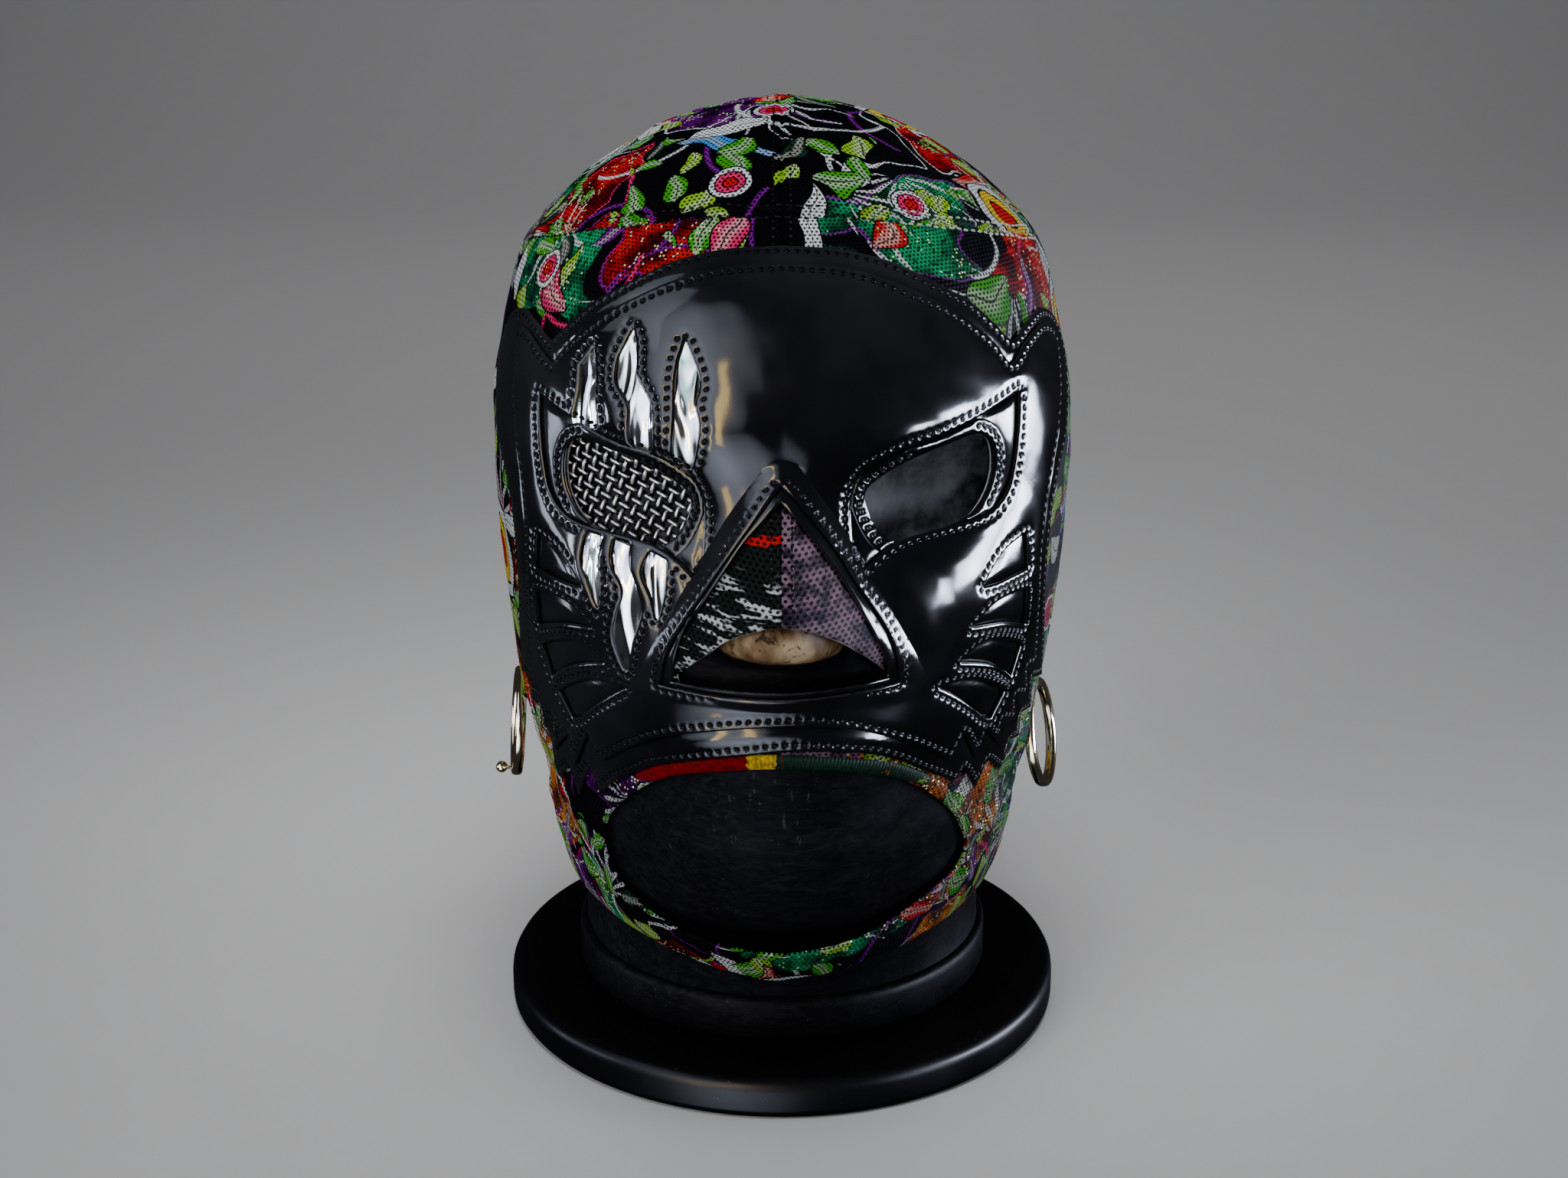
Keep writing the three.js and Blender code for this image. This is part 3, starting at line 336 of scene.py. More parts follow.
HEAD_TABLE = section_table(HEAD_RINGS)
FORM_TABLE = section_table(FORM_RINGS)
STEPS = np.arange(len(HEAD_TABLE)) / STEPS_PER_RING
HEIGHTS = HEAD_TABLE[:, 0]
MEAN_RADIUS = HEAD_TABLE[:, 1:4].mean(axis=1)
CAP_RADIUS = 30


# The chart is a plane where the head has no seam and small shapes keep their form. Its middle is the crown.
def chart_table():
    run = np.hypot(np.diff(HEIGHTS), np.diff(MEAN_RADIUS))
    arc = np.append(np.cumsum(run[::-1])[::-1], 0)
    cap = np.flatnonzero(MEAN_RADIUS >= CAP_RADIUS)[-1]
    growth = 2 * run / (MEAN_RADIUS[1:] + MEAN_RADIUS[:-1])
    growth[cap:] = 0
    spread = np.append(np.cumsum(growth[::-1])[::-1], 0)
    radius = np.where(np.arange(len(arc)) < cap, arc[cap] * np.exp(spread), arc)
    return arc, radius


ARC, CHART_RADIUS = chart_table()


def profile_table(profile):
    heights = np.arange(profile[0][0] - 6, profile[-1][0] + 6, 0.25)
    values = np.interp(heights, *zip(*profile))
    offsets = np.arange(-12, 13)
    weights = np.exp(-((offsets * 0.25 / PROFILE_SOFTNESS) ** 2))
    return heights, np.convolve(np.pad(values, 12, mode="edge"), weights / weights.sum(), mode="valid")


TENT_TABLE = profile_table(TENT_PROFILE)
NOSE_TABLE = profile_table(NOSE_PROFILE)


def section_radius(table, azimuth, step):
    half, front, back, square = (np.interp(step, STEPS, table[:, k]) for k in range(1, 5))
    forward = np.cos(azimuth) >= 0
    depth = np.where(forward, front, back)
    power = np.where(forward, square, BACK_SQUARENESS)
    across = (np.abs(np.sin(azimuth)) / np.maximum(half, TINY)) ** power
    along = (np.abs(np.cos(azimuth)) / np.maximum(depth, TINY)) ** power
    return (across + along) ** (-1 / power)


def swelling(x, z, centre, size, power=2):
    across = np.abs((np.abs(x) - centre[0]) / size[0]) ** power
    up = np.abs((z - centre[1]) / size[1]) ** power
    return np.exp(-across - up)


def face_relief(x, z):
    return sum(amount * swelling(x, z, centre, size) for amount, centre, size in FACE_SWELLINGS.values())


def tent_height(x, z):
    half = np.clip(TENT["least"] + (TENT["top"] - z) * TENT["slope"], TENT["least"], TENT["most"])
    away = np.sqrt(x**2 + TENT["ridge"] ** 2) - TENT["ridge"]
    fall = 1 - (away / half) ** TENT["power"]
    return np.interp(z, *TENT_TABLE) * np.maximum(fall, 0)


def nose_height(x, z):
    size = NOSE_HALF_WIDTH
    t = np.clip((z - size["tip_height"]) / (size["bridge_height"] - size["tip_height"]), 0, 1)
    fall = 1 - (x / (size["tip"] + (size["bridge"] - size["tip"]) * t)) ** 2
    return np.interp(z, *NOSE_TABLE) * np.maximum(fall, 0)


def dressed_radius(azimuth, step, z):
    radius = section_radius(HEAD_TABLE, azimuth, step)
    x = radius * np.sin(azimuth)
    aside = (azimuth * PATTERN_RADIUS - HOOP_SWELL["u"]) / HOOP_SWELL["width"]
    up = (z - HOOP_SWELL["z"]) / HOOP_SWELL["height"]
    swell = HOOP_SWELL["amount"] * np.exp(-(aside**2) - up**2)
    relief = np.where(np.cos(azimuth) > 0, face_relief(x, z) + tent_height(x, z), 0)
    return radius + swell + relief


def form_radius(azimuth, step, z):
    dressed = dressed_radius(azimuth, step, z)
    radius = section_radius(FORM_TABLE, azimuth, step)
    x = radius * np.sin(azimuth)
    socket = SOCKET["depth"] * swelling(x, z, EYE_CENTRE, (SOCKET["width"], SOCKET["height"]), 4)
    face = np.minimum(radius + face_relief(x, z) + nose_height(x, z), dressed) - socket
    turned = np.clip((np.abs(np.degrees(azimuth)) - CLOSURE_ROOM["from"]) / CLOSURE_ROOM["soft"] + 1, 0, 1)
    below = np.clip((CLOSURE_ROOM["top"] - z) / CLOSURE_ROOM["soft"] + 1, 0, 1)
    back = np.minimum(radius, dressed) - CLOSURE_ROOM["depth"] * turned * below
    return np.where(np.cos(azimuth) > 0, face, back)


def surface(chart):
    """Places of the drape surface, which the cloth lies on"""
    azimuth = np.arctan2(chart[:, 0], -chart[:, 1])
    step = np.interp(np.hypot(chart[:, 0], chart[:, 1]), CHART_RADIUS[::-1], STEPS[::-1])
    z = np.interp(step, STEPS, HEIGHTS)
    return np.column_stack([polar(azimuth, dressed_radius(azimuth, step, z)), z])


def normals_at(chart):
    reach = 0.002 * np.maximum(np.hypot(chart[:, 0], chart[:, 1]), 20)[:, None]
    along = surface(chart + reach * (1, 0)) - surface(chart - reach * (1, 0))
    up = surface(chart + reach * (0, 1)) - surface(chart - reach * (0, 1))
    return unit(np.cross(along, up))


def scale_at(chart, direction):
    """How long a unit of the chart is on the head, in a direction"""
    reach = 0.001 * np.hypot(chart[:, 0], chart[:, 1])[:, None]
    return np.linalg.norm(surface(chart + direction * reach) - surface(chart), axis=1, keepdims=True) / reach


def to_chart(places):
    places = np.asarray(places, float)
    return polar(places[:, 0] / PATTERN_RADIUS, np.interp(places[:, 1], HEIGHTS, CHART_RADIUS))


def to_pattern(chart):
    azimuth = np.arctan2(chart[:, 0], -chart[:, 1])
    z = np.interp(-np.hypot(chart[:, 0], chart[:, 1]), -CHART_RADIUS, HEIGHTS)
    return azimuth * PATTERN_RADIUS, z


# Outlines
def smooth_run(points, closed=False, parts=6):
    points = np.array(points, float)
    ends = (points[-1:], points[:2]) if closed else (points[:1], points[-1:])
    knots = np.vstack([ends[0], points, ends[1]])
    t = np.arange(parts)[:, None] / parts
    pieces = [catmull_rom(*knots[k : k + 4], t) for k in range(len(knots) - 3)]
    return np.vstack(pieces if closed else [*pieces, points[-1:]])


def outline(steps):
    points = []
    for step in steps:
        if hasattr(step[0], "__len__"):
            run = [*points[-1:], *step]
            points += list(smooth_run(run))[len(points[-1:]) :]
        else:
            points.append(np.array(step, float))
    points = np.array(points)
    return points[:-1] if np.hypot(*(points[0] - points[-1])) < 0.05 else points


def mirrored(steps):
    return tuple(mirrored(s) if hasattr(s[0], "__len__") else (-s[0], s[1]) for s in steps)


def dense(places, step=EDGE_STEP, closed=True):
    places = np.asarray(places, float)
    following = np.roll(places, -1, axis=0) if closed else places[1:]
    found = []
    for a, reach in zip(places, following - places[: len(following)]):
        reach = reach - (2 * BACK_U * round(reach[0] / (2 * BACK_U)), 0)
        count = max(int(math.ceil(np.hypot(*reach) / step)), 1)
        found += [a + reach * k / count for k in range(count)]
    return np.array(found if closed else [*found, places[-1]])


def on_chart(places, closed=True):
    """A line of the pattern as close-set points of the chart"""
    return to_chart(dense(places, closed=closed))


def grown(places, amount):
    """A closed outline moved outwards, with its corners kept"""
    places = np.asarray(places, float)
    before = unit(places - np.roll(places, 1, axis=0))
    after = np.roll(before, -1, axis=0)
    normal = unit(np.column_stack([before[:, 1] + after[:, 1], -before[:, 0] - after[:, 0]]))
    spread = np.maximum(np.sum(normal * np.column_stack([before[:, 1], -before[:, 0]]), axis=1), 0.4)
    return places + normal * (math.copysign(amount, amount * signed_area(places)) / spread)[:, None]


def eye_places(side, places):
    places = np.array(places) * ((-1, 1) if side == "left" else (1, 1))
    return places + EYE_MOVE[side]


def eye_window(side):
    return eye_places(side, outline(EYE_WINDOW))


def eye_hole(side, growth=0):
    hole = eye_places(side, smooth_run(EYE_HOLE, closed=True))
    return grown(hole, growth) if growth else hole


def inside(points, loop):
    """Which points of the chart lie in a closed loop of it"""
    low, high = loop.min(axis=0), loop.max(axis=0)
    found = np.all((points >= low) & (points <= high), axis=1)
    near = np.flatnonzero(found)
    start = loop
    end = np.roll(loop, -1, axis=0)
    rise = np.where(np.abs(end[:, 1] - start[:, 1]) < TINY, TINY, end[:, 1] - start[:, 1])
    for part in np.array_split(near, max(len(near) // 8000, 1)):
        x, y = points[part, :1], points[part, 1:]
        crosses = (start[:, 1] > y) != (end[:, 1] > y)
        reached = start[:, 0] + (y - start[:, 1]) * (end[:, 0] - start[:, 0]) / rise
        found[part] = np.sum(crosses & (x < reached), axis=1) % 2 == 1
    return found


def lattice(spacing, low, high, reach):
    """Points of the chart spread evenly over the head between two heights, as far round as reach"""
    first, last = np.interp([high, low], HEIGHTS, ARC)
    rows = []
    for k, arc in enumerate(np.arange(first + spacing / 2, last, spacing * 0.866)):
        count = max(int(2 * math.pi * np.interp(-arc, -ARC, MEAN_RADIUS) / spacing), 3)
        azimuth = (np.arange(count) + k % 2 / 2) / count * 2 * math.pi - math.pi
        azimuth = azimuth[np.abs(azimuth) <= reach]
        rows.append(polar(azimuth, np.interp(-arc, -ARC, CHART_RADIUS)))
    return np.vstack(rows)


class Lines:
    """Lines in space that points are measured from."""

    def __init__(self, paths, closed=True):
        self.points = np.vstack(paths)
        self.before = np.arange(len(self.points)) - 1
        self.after = np.arange(len(self.points)) + 1
        first = 0
        for path in paths:
            last = first + len(path) - 1
            self.before[first] = last if closed else first
            self.after[last] = first if closed else last
            first = last + 1
        self.tree = tree_of(self.points)

    def near(self, points):
        """Distance of each point to the lines"""
        nearest = np.array([self.tree.find(point)[1] for point in points], int)
        best = np.full(len(points), np.inf)
        for first, second in ((self.before[nearest], nearest), (nearest, self.after[nearest])):
            start = self.points[first]
            reach = self.points[second] - start
            t = np.sum((points - start) * reach, axis=1) / np.maximum(np.sum(reach**2, axis=1), TINY)
            t = np.clip(t, 0, 1)
            best = np.minimum(best, np.linalg.norm(points - start - reach * t[:, None], axis=1))
        return best


def gaps_to(places, points):
    """Distance of each point to the nearest of some places"""
    tree = tree_of(places)
    return np.array([tree.find(point)[2] for point in points])


def triangulate(loops, lines, points, keep):
    """Triangles over the chart that have the loops and lines as edges"""
    places = []
    edges = []
    for path, closed in [*((loop, True) for loop in loops), *((line, False) for line in lines)]:
        first = len(places)
        places += [Vector(p) for p in path]
        edges += [(first + k, first + k + 1) for k in range(len(path) - 1)]
        if closed:
            edges.append((first + len(path) - 1, first))
    places += [Vector(p) for p in points]
    found = delaunay_2d_cdt(places, edges, [], 0, 1e-5, False)
    chart = np.array([tuple(v) for v in found[0]])
    triangles = np.array([tuple(face) for face in found[2]], int)
    middle = chart[triangles].mean(axis=1)
    triangles = triangles[keep(middle)]
    a, b, c = (chart[triangles[:, k]] for k in range(3))
    turn = (b[:, 0] - a[:, 0]) * (c[:, 1] - a[:, 1]) - (b[:, 1] - a[:, 1]) * (c[:, 0] - a[:, 0])
    triangles = triangles[np.abs(turn) > 1e-9]
    flip = turn[np.abs(turn) > 1e-9] < 0
    triangles[flip] = triangles[flip][:, ::-1]
    used, index = np.unique(triangles, return_inverse=True)
    return chart[used], index.reshape(-1, 3)


def boundary_loops(triangles):
    """Loops of the edges that only one triangle has, with the piece on their left"""
    edges = np.vstack([triangles[:, [0, 1]], triangles[:, [1, 2]], triangles[:, [2, 0]]])
    key = edges.min(axis=1) * (triangles.max() + 1) + edges.max(axis=1)
    _, first, count = np.unique(key, return_index=True, return_counts=True)
    following = {}
    for a, b in edges[first[count == 1]].tolist():
        following.setdefault(a, []).append(b)
    loops = []
    while following:
        start = next(iter(following))
        loop = []
        place = start
        while place in following:
            loop.append(place)
            after = following[place].pop()
            if not following[place]:
                del following[place]
            place = after
        loops.append(np.array(loop))
    return loops


class Shell:
    """A thin piece that lies on the head: a fine outer face, a plain inner face and the edge between them."""

    def __init__(self, loops, holes, spacing, zone, lines=(), also=None, extra=None):
        outer = [on_chart(loop) for loop in loops]
        inner = [on_chart(hole) for hole in holes]
        lines = [on_chart(line, closed=False) for line in lines]

        def keep(points):
            found = np.any([inside(points, loop) for loop in outer], axis=0)
            for hole in inner:
                found &= ~inside(points, hole)
            return found if also is None else found & also(points)

        self.keep = keep
        self.zone = zone
        self.spots = None
        bounds = Lines([surface(loop) for loop in [*outer, *inner]])
        grid = self.grid(spacing)
        grid = grid[bounds.near(surface(grid)) > RIM_INSETS[-1] + 0.4 * spacing]
        rims = np.vstack([self.rim(loop, side * inset, bounds)
                          for loop in [*outer, *inner] for inset in RIM_INSETS for side in (-1, 1)])
        rims = rims[keep(rims)]
        if extra is not None:
            extra = extra[keep(extra)]
            grid = grid[gaps_to(surface(extra), surface(grid)) > 0.7 * spacing]
            grid = np.vstack([grid, extra])
        self.chart, self.triangles = triangulate([*outer, *inner], lines, np.vstack([rims, grid]), keep)
        self.measure()

    def grid(self, spacing):
        low, high, reach = self.zone
        grid = lattice(spacing, low, high, reach / PATTERN_RADIUS)
        return grid[self.keep(grid)]

    def measure(self):
        self.loops = boundary_loops(self.triangles)
        self.base = surface(self.chart)
        self.normal = normals_at(self.chart)
        self.edges = Lines([self.base[loop] for loop in self.loops])
        self.edge_distance = self.edges.near(self.base)

    def rolled(self, kind):
        depth, width = ROLL[kind]
        return depth * np.exp(-self.edge_distance / width)

    def refine(self, paths, pitch):
        """Adds the points that round dips at the stitches need."""
        spots = stitch_places(paths, pitch)
        places = surface(spots)
        self.spots = places
        free = gaps_to(places, self.base) > 1.25 * DIP["rings"][-1][0]
        free |= self.edge_distance < 0.65
        free[np.concatenate(self.loops)] = False
        points = [self.chart[free], spots]
        for radius, count in DIP["rings"]:
            ring = circles(spots, radius, count)
            points.append(ring[gaps_to(places, surface(ring)) > 0.9 * radius])
        points = np.vstack(points)
        loops = [self.chart[loop] for loop in self.loops]
        self.chart, self.triangles = triangulate(loops, [], points[self.keep(points)], self.keep)
        self.measure()

    @staticmethod
    def moved(chart, amount):
        """Points of a closed loop of the chart, moved to their left by an amount on the head"""
        along = unit(np.roll(chart, -1, axis=0) - np.roll(chart, 1, axis=0))
        left = np.column_stack([-along[:, 1], along[:, 0]])
        return chart + left * amount / np.maximum(scale_at(chart, left), TINY)

    def rim(self, chart, amount, bounds):
        places = self.moved(chart, amount)
        return places[bounds.near(surface(places)) > 0.9 * abs(amount)]

    def row(self, inset, least=14):
        """Paths on the chart that follow the edges of the piece at a distance"""
        found = []
        for loop in self.loops:
            places = self.moved(self.chart[loop], inset)
            points = surface(places)
            good = self.edges.near(points) > 0.93 * inset
            if good.sum() < 3:
                continue
            first = 0 if good.all() else int(np.argmin(good))
            order = np.roll(np.arange(len(places)), -first)
            order = order[good[order]]
            for part in np.split(order, np.flatnonzero(lengths(points[order]) > 3.5 * inset) + 1):
                path = places[part]
                if good.all():
                    path = np.vstack([path, path[:1]])
                if lengths(surface(path)).sum() > least:
                    found.append(path)
        return found

    def mesh(self, name, offset, inner, materials, coarse=3.6):
        """Builds the piece; offset is its outer face's distance from the drape surface at every point.

        The materials are those of the outer face, of the rest and, with stitches, of the needle holes, where
        dull dark thread is painted round each stitch as the shade in its hole.
        """
        ring = np.concatenate(self.loops)
        grid = self.grid(coarse)
        grid = grid[self.edges.near(surface(grid)) > 0.4 * coarse]
        loops = [self.chart[loop] for loop in self.loops]
        chart, triangles = triangulate(loops, [], grid, self.keep)
        tree = tree_of(np.column_stack([self.chart[ring], np.zeros(len(ring))]))
        back = {}
        for k, place in enumerate(chart):
            _, index, gap = tree.find((*place, 0))
            if gap < 1e-4:
                back[int(ring[index])] = k + len(self.chart)
        outside = self.base + self.normal * offset[:, None]
        within = surface(chart) + normals_at(chart) * inner
        walls = [(a, back[a], back[b], b) for loop in self.loops
                 for a, b in zip(loop.tolist(), np.roll(loop, -1).tolist())]
        backs = (triangles[:, ::-1] + len(self.chart)).tolist()
        slots = [0] * len(self.triangles) + [1] * (len(walls) + len(backs))
        # Painted shade: faces close to a stitch take the dull dark thread, standing for the shade in the
        # needle hole
        if self.spots is not None:
            gap = gaps_to(self.spots, self.base[self.triangles].mean(axis=1))
            slots[: len(gap)] = np.where(gap < DIP["painted_shade"], 2, 0).tolist()
        faces = self.triangles.tolist() + walls + backs
        piece = mesh_object(name, np.vstack([outside, within]), faces, materials, slots)
        crease(piece)
        print_map(piece)
        return piece


def mesh_object(name, points, faces, materials, slots=None):
    mesh = bpy.data.meshes.new(name)
    mesh.from_pydata((np.asarray(points) * MM).tolist(), [], faces)
    for material in materials:
        mesh.materials.append(material)
    if slots is not None:
        mesh.polygons.foreach_set("material_index", slots)
    mesh.polygons.foreach_set("use_smooth", [True] * len(mesh.polygons))
    mesh.update()
    piece = bpy.data.objects.new(name, mesh)
    bpy.context.scene.collection.objects.link(piece)
    return piece


def crease(piece, angle=40):
    """Shades the edges as sharp that bend by more than an angle."""
    piece.data.set_sharp_from_angle(angle=math.radians(angle))


def place(piece, slot, *nodes):
    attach(piece, "root")
    if nodes:
        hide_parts(*nodes)


def values_of(items, name, width=1, kind=float):
    """One value of every item of a mesh"""
    values = np.zeros(len(items) * width, kind)
    items.foreach_get(name, values)
    return values.reshape(-1, width) if width > 1 else values


def add_map(mesh, name, places):
    mesh.uv_layers.new(name=name).data.foreach_set("uv", np.asarray(places).ravel())


def print_map(piece):
    """Maps the cloth flat, in centimetres: the crown, and the band below the forehead seam."""
    mesh = piece.data
    corners = values_of(mesh.loops, "vertex_index", kind=int)
    points = values_of(mesh.vertices, "co", 3) / MM
    azimuth = np.arctan2(points[:, 0], -points[:, 1])
    arc = np.interp(points[:, 2], HEIGHTS, ARC)
    crown = polar(azimuth, np.maximum(arc, np.hypot(points[:, 0], points[:, 1])))
    band = np.column_stack([azimuth * PATTERN_RADIUS * 0.95, -arc])
    centres = values_of(mesh.polygons, "center", 3) / MM
    u = np.abs(np.arctan2(centres[:, 0], -centres[:, 1])) * PATTERN_RADIUS
    above = np.repeat(centres[:, 2] > np.interp(u, *zip(*FOREHEAD_SEAM)),
                      values_of(mesh.polygons, "loop_total", kind=int))
    add_map(mesh, "print", np.where(above[:, None], crown[corners], band[corners]) / 10)


def ripple(points, wavelength, seed, count=10):
    """Smooth seeded unevenness, about -1 to 1"""
    rng = np.random.default_rng(seed)
    direction = unit(rng.normal(size=(count, 3)))
    waves = 2 * math.pi / (wavelength * rng.uniform(0.7, 1.6, count))
    phase = rng.uniform(0, 6.3, count)
    return np.sin(points @ (direction * waves[:, None]).T + phase).sum(axis=1) / count**0.5


def soft_step(value):
    value = np.clip(value, 0, 1)
    return value * value * (3 - 2 * value)


def resampled(path, pitch, start=0.5):
    """Places along a path of the chart, a pitch apart on the head, with the direction there"""
    along = np.append(0, np.cumsum(lengths(surface(path))))
    count = max(int(round(along[-1] / pitch)), 1)
    step = along[-1] / count

    def at(wanted):
        return np.column_stack([np.interp(wanted, along, path[:, k]) for k in range(2)])

    wanted = (np.arange(count) + start) * step
    return at(wanted), unit(surface(at(wanted + 0.4 * step)) - surface(at(wanted - 0.4 * step)))


def stitch_places(paths, pitch):
    return np.vstack([resampled(path, pitch)[0] for path in paths])


def circles(chart, radius, count):
    """Points of the chart in a circle about each given one, with a radius on the head"""
    scale = scale_at(chart, np.array((1, 0)))
    directions = [np.array((math.cos(t), math.sin(t))) for t in full_turn(count)]
    return np.vstack([chart + direction * radius / scale for direction in directions])


def stitch_mesh(name, paths, shell, offset, sizes, material, lift=0.12):
    """Short threads that dip into the piece at both ends"""
    tree = tree_of(shell.base)
    rng = np.random.default_rng(len(paths))
    turns = full_turn(STITCH_SIDES)
    points = []
    faces = []
    for path in paths:
        chart, along = resampled(path, sizes.stitch_pitch)
        normal = normals_at(chart)
        side = np.cross(normal, along)
        base = surface(chart)
        for k in range(len(chart)):
            height = offset[tree.find(base[k])[1]] + lift
            direction = along[k] + side[k] * rng.normal(0, 0.05)
            half = sizes.stitch_length / 2 * rng.uniform(0.94, 1.04)
            first = len(points)
            for station, width in STITCH:
                centre = base[k] + direction * (station * half)
                centre = centre + normal[k] * (height - STITCH_SINK * station**4)
                for turn in turns:
                    spread = side[k] * math.cos(turn) * 1.15 + normal[k] * math.sin(turn)
                    points.append(centre + spread * (sizes.thread_radius * width))
            last = len(points) - STITCH_SIDES
            faces += band_faces(len(STITCH), STITCH_SIDES, first)
            faces.append(tuple(first + j for j in range(STITCH_SIDES - 1, -1, -1)))
            faces.append(tuple(last + j for j in range(STITCH_SIDES)))
    return mesh_object(name, np.array(points), faces, [material])


def row_relief(points, paths, pitch, depth):
    """The shallow groove along a row of stitches, with a round dip at each"""
    gap = Lines([surface(path) for path in paths], closed=False).near(points)
    away = gaps_to(surface(stitch_places(paths, pitch)), points)
    return -DIP["groove"] * bell(gap, DIP["groove_width"]) - depth * bell(away, DIP["width"])


def tube(points, radius, sides):
    """A tube with flat ends along points in space"""
    ahead = np.roll(points, -1, axis=0) - np.roll(points, 1, axis=0)
    ahead[0] = points[1] - points[0]
    ahead[-1] = points[-1] - points[-2]
    ahead = unit(ahead)
    side = unit(np.cross(ahead, unit(points * (1, 1, 0))))
    up = np.cross(side, ahead)
    turns = full_turn(sides)[None, :, None]
    rings = points[:, None] + radius * (side[:, None] * np.cos(turns) + up[:, None] * np.sin(turns))
    return rings.reshape(-1, 3), ring_faces(len(points), sides, closed=False)


def band_faces(rings, sides, first=0):
    """Faces between rings of points that follow each other"""
    faces = []
    for start in range(first, first + (rings - 1) * sides, sides):
        for k in range(sides):
            j = (k + 1) % sides
            faces.append((start + k, start + j, start + sides + j, start + sides + k))
    return faces


def ring_faces(rings, sides, closed, first=0):
    faces = []
    for ring in range(rings if closed else rings - 1):
        after = (ring + 1) % rings
        for j in range(sides):
            k = (j + 1) % sides
            faces.append((first + ring * sides + j, first + after * sides + j, first + after * sides + k,
                          first + ring * sides + k))
    if not closed:
        faces.append(tuple(first + j for j in range(sides)))
        faces.append(tuple(first + (rings - 1) * sides + j for j in range(sides - 1, -1, -1)))
    return faces


def lathe(name, profile, segments, materials):
    """A solid of revolution about Z; the profile starts and ends on the axis."""
    turns = full_turn(segments)
    points = [(0, 0, profile[0][1])]
    for radius, z in profile[1:-1]:
        points += [(radius * math.sin(t), -radius * math.cos(t), z) for t in turns]
    points.append((0, 0, profile[-1][1]))
    faces = [(0, 1 + (k + 1) % segments, 1 + k) for k in range(segments)]
    faces += band_faces(len(profile) - 2, segments, 1)
    first = 1 + (len(profile) - 3) * segments
    faces += [(first + k, first + (k + 1) % segments, len(points) - 1) for k in range(segments)]
    return mesh_object(name, np.array(points), faces, materials)


# Materials
def scaled(colour, amount):
    return tuple(amount * part for part in colour[:3])


